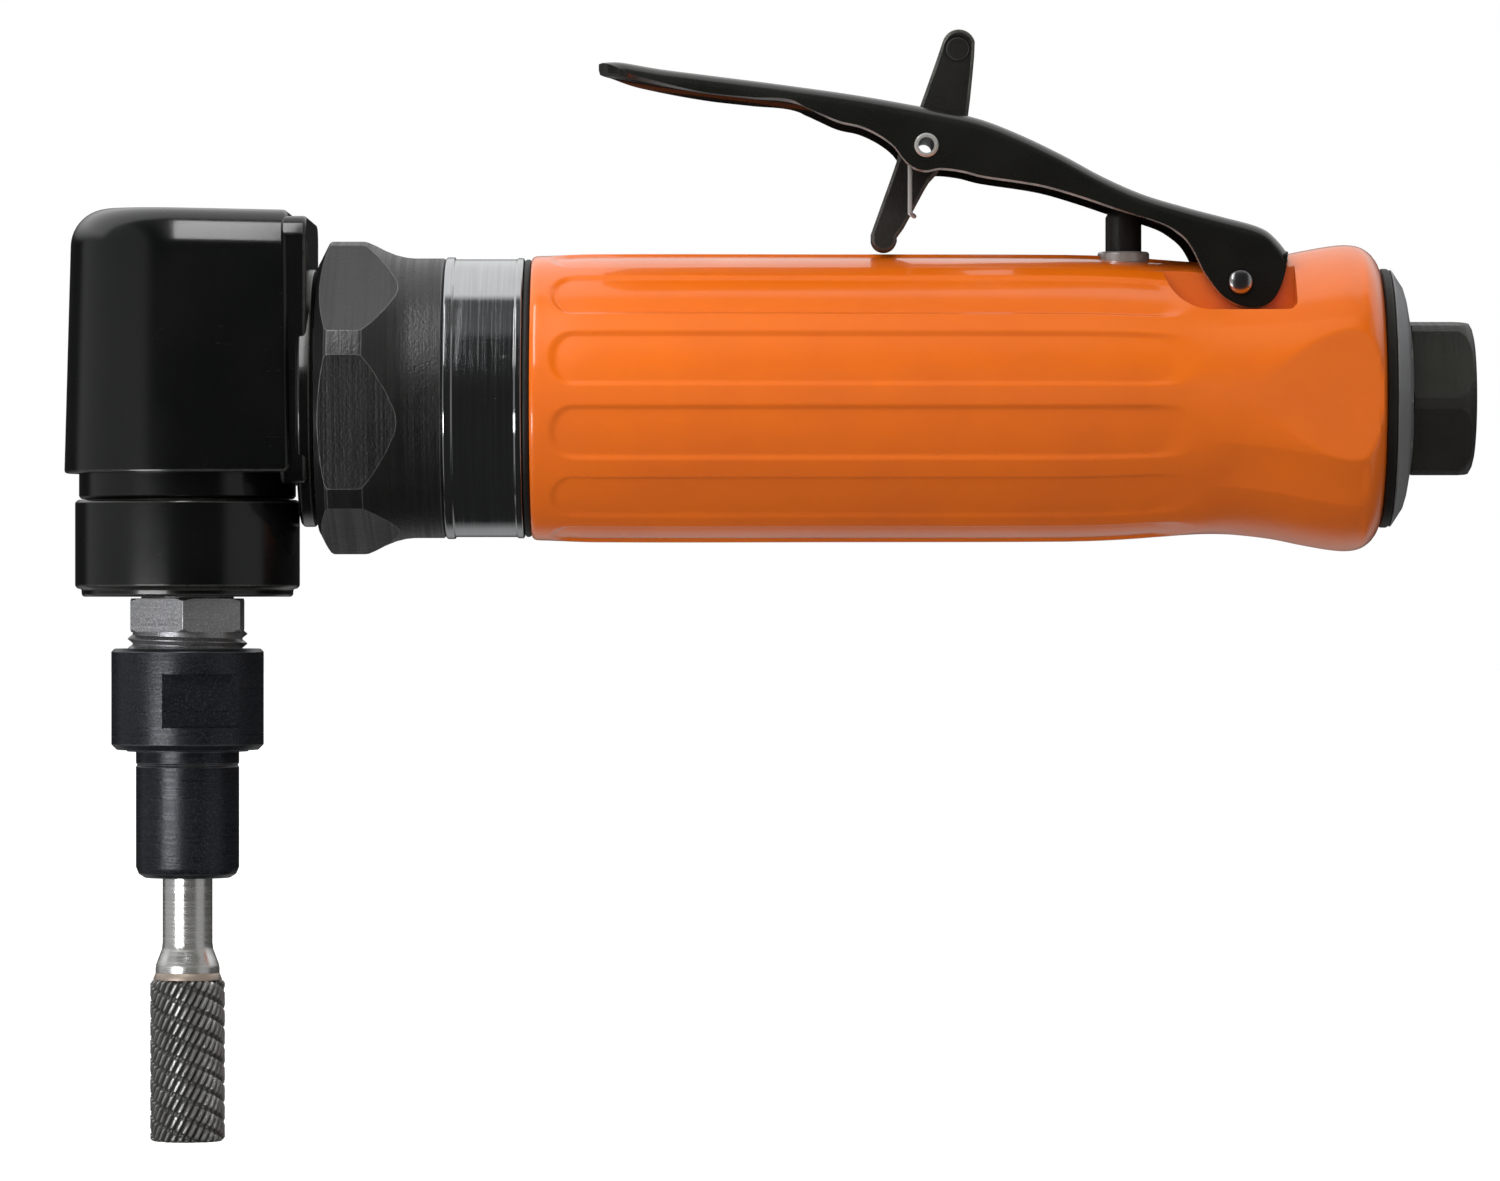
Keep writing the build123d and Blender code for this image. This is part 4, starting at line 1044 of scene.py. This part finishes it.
# %% Inlet bushing
hexagon = turned([(155.6, 5.56), (155.6, 10.62), (161.5, 10.62), (162.4, 10.3), (163.1, 9.7),
                  (163.5, 9.0), (163.68, 8.3), (163.68, 6.9), (163.3, 6.45), (150.0, 6.45),
                  (150.0, 5.56)], steps=240)
slice_flats(hexagon, (0, 0, 0), ring_of_normals(6, 34.6), 9.525)
soften(hexagon, 0.10, 2, 22)
bore_wall = turned([(150.0, 6.5), (163.2, 6.5), (163.2, 6.3), (150.0, 6.3)], steps=64)
PIPE_PITCH, PIPE_TURNS = 1.41, 8
PIPE_TOOTH = [spot(150.6 + a, r, "X") for a, r in
              ((-0.62, 6.36), (-0.08, 5.66), (0.08, 5.66), (0.62, 6.36))]
pipe_thread = screwed(PIPE_TOOTH, (0, 0, 0), (1, 0, 0), PIPE_PITCH * PIPE_TURNS, PIPE_TURNS, 48)
piece("inlet_hex_bushing", joined(hexagon, bore_wall, pipe_thread), hex_oxide, "body",
      ["inlet_bushing"], smooth=28)

# %% [markdown]
# Everything inside the handle keeps its frame mesh, which is exact where the pieces mesh and
# run. Each still gets a proper finish, because a section or an open view shows it. The valve's
# spring is given a mesh of its own.

# %% Finishes for the inner pieces
INNER_FINISH = {
    "ground_steel": ground_steel, "ring_steel": polished_steel, "cast_iron": motor_iron,
    "vane_composite": vane_laminate, "brass": valve_brass, "felt": silencer_felt,
    "seal_rubber": seal_rubber, "spring_steel": spring_wire,
}
slots = {s["node"]: s["material_slot"] for s in frame["record"]["subparts"]}
dressed = 0
for name, node in frame["nodes"].items():
    finish = INNER_FINISH.get(slots.get(name))
    if finish:
        node.data.materials.clear()
        node.data.materials.append(finish)
        dressed += 1
print("inner pieces dressed:", dressed)
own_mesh(frame["nodes"]["valve_spring"])

# %% [markdown]
# The stage is a pale floor just under the cutter. It looks white to the camera, gives a little
# light from below, and does not show in the gloss of the pieces.

# %% Floor and surroundings
FLOOR_Z = -0.0958
floor_mesh = bmesh.new()
bmesh.ops.create_grid(floor_mesh, x_segments=1, y_segments=1, size=6.0)
bmesh.ops.translate(floor_mesh, verts=floor_mesh.verts, vec=(0, 0, FLOOR_Z))
floor = to_object(floor_mesh, "studio_floor")
floor_paint = bpy.data.materials.new("pale floor")
floor_paint.use_nodes = True
floor_shader = floor_paint.node_tree.nodes["Principled BSDF"]
floor_shader.inputs["Base Color"].default_value = (0.48, 0.48, 0.48, 1)
floor_shader.inputs["Roughness"].default_value = 0.95
floor_shader.inputs["Specular IOR Level"].default_value = 0.0
seen = floor_paint.node_tree.nodes.new("ShaderNodeLightPath")
lift = arith(floor_paint.node_tree, "MULTIPLY", seen.outputs["Is Camera Ray"], 0.95)
floor_shader.inputs["Emission Color"].default_value = (1, 1, 1, 1)
floor_paint.node_tree.links.new(lift, floor_shader.inputs["Emission Strength"])
floor.data.materials.append(floor_paint)
floor.visible_glossy = False


# %% [markdown]
# Glossy black and bright steel show their surroundings more than their own colour. The room is
# bright above and behind and dark in front, with a dim pale wall at each side and a weak glow
# low behind. So the ring gets a bright crown over a dark middle, and the black head its long
# soft edges. Each zone is a ramp along one direction, kept to a part of the room by a second.

# %% The room
ROOM_LEAST = 0.022
ROOM_ZONES = [
    ("Y", -0.06, 0.06, 0.95, "Z", 0.12, 0.40),
    ("Z", 0.74, 0.82, 0.085, "Y", -9.0, -8.0),
    ("X", -0.50, -0.64, 0.27, "Y", 0.60, 0.45),
    ("X", 0.62, 0.74, 0.28, "Y", 0.02, -0.12),
    ("Y", 0.58, 0.78, 0.33, "Z", -0.12, -0.40)]


def make_room():
    """A world that is white where it is seen, and a shaped soft room where it is reflected.

    The zones are above, high in front, left, right and low behind."""
    world = bpy.data.worlds.new("studio")
    world.use_nodes = True
    sky = world.node_tree
    parts = sky.nodes.new("ShaderNodeSeparateXYZ")
    sky.links.new(sky.nodes.new("ShaderNodeTexCoord").outputs["Generated"], parts.inputs[0])
    room = None
    for axis, start, full, level, other, outside, inside in ROOM_ZONES:
        ramp = spread(sky, parts.outputs[axis], start, full, 0.0, level)
        zone = arith(sky, "MULTIPLY", ramp, spread(sky, parts.outputs[other], outside, inside))
        room = zone if room is None else arith(sky, "MAXIMUM", room, zone)
    room = arith(sky, "ADD", room, ROOM_LEAST)
    seen_by_eye = sky.nodes.new("ShaderNodeLightPath").outputs["Is Camera Ray"]
    sky.links.new(spread(sky, seen_by_eye, 0, 1, room, 1.0), sky.nodes["Background"].inputs["Strength"])
    sky.nodes["Background"].inputs["Color"].default_value = (1, 1, 1, 1)
    return world


bpy.context.scene.world = make_room()
bpy.context.scene.view_settings.view_transform = "Standard"


# %% [markdown]
# Two large soft boxes light the colours and stay out of the gloss: a key, high in front and to
# the left, and a warm fill straight in front. Two small strips close to the tool are there to
# be mirrored: one draws the bright band along the head's top edge, and the other the bright
# line down the collet nut and the shank.

# %% Lights
def soft_box(name, place, aim, size, power, mirrored=True, tint=(1, 1, 1)):
    """A rectangular soft light at a place, turned to face a point, and seen in gloss or not."""
    lamp = bpy.data.lights.new(name, "AREA")
    lamp.shape = "RECTANGLE"
    lamp.size, lamp.size_y = size
    lamp.energy = power
    lamp.color = tint
    obj = bpy.data.objects.new(name, lamp)
    obj.location = place
    obj.rotation_euler = (Vector(aim) - Vector(place)).to_track_quat("-Z", "Y").to_euler()
    obj.visible_glossy = mirrored
    obj.visible_camera = False
    bpy.context.scene.collection.objects.link(obj)
    return obj


MIDDLE = (-0.09, 0.0, -0.01)
soft_box("front_key", (-0.30, -0.70, 1.05), MIDDLE, (1.2, 0.8), 11.6, mirrored=False,
         tint=(1.0, 1.05, 0.84))
soft_box("front_fill", (0.0, -1.15, 0.10), MIDDLE, (1.2, 0.7), 3.7, mirrored=False,
         tint=(1.0, 0.84, 0.78))
soft_box("head_strip", (at(-6.0) * MM, -0.100, 0.130), (at(-1) * MM, 0, 0.02), (0.030, 0.16), 0.11)
soft_box("collet_strip", (-0.248, -0.124, -0.057), (SPINDLE_X * MM, 0, -0.055), (0.085, 0.044),
         0.095)

# %% [markdown]
# The camera stands level, a little over a metre away with a long lens, square to the side of
# the tool, so that the handle and spindle keep their true proportions.

# %% Camera
eye = bpy.data.cameras.new("side_camera")
eye.sensor_width = 36
eye.lens = 193.9
camera = bpy.data.objects.new("side_camera", eye)
camera.location = (at(71.7) * MM, -1.03, -0.0245)
camera.rotation_euler = (pi / 2, 0, 0)
bpy.context.scene.collection.objects.link(camera)
bpy.context.scene.camera = camera
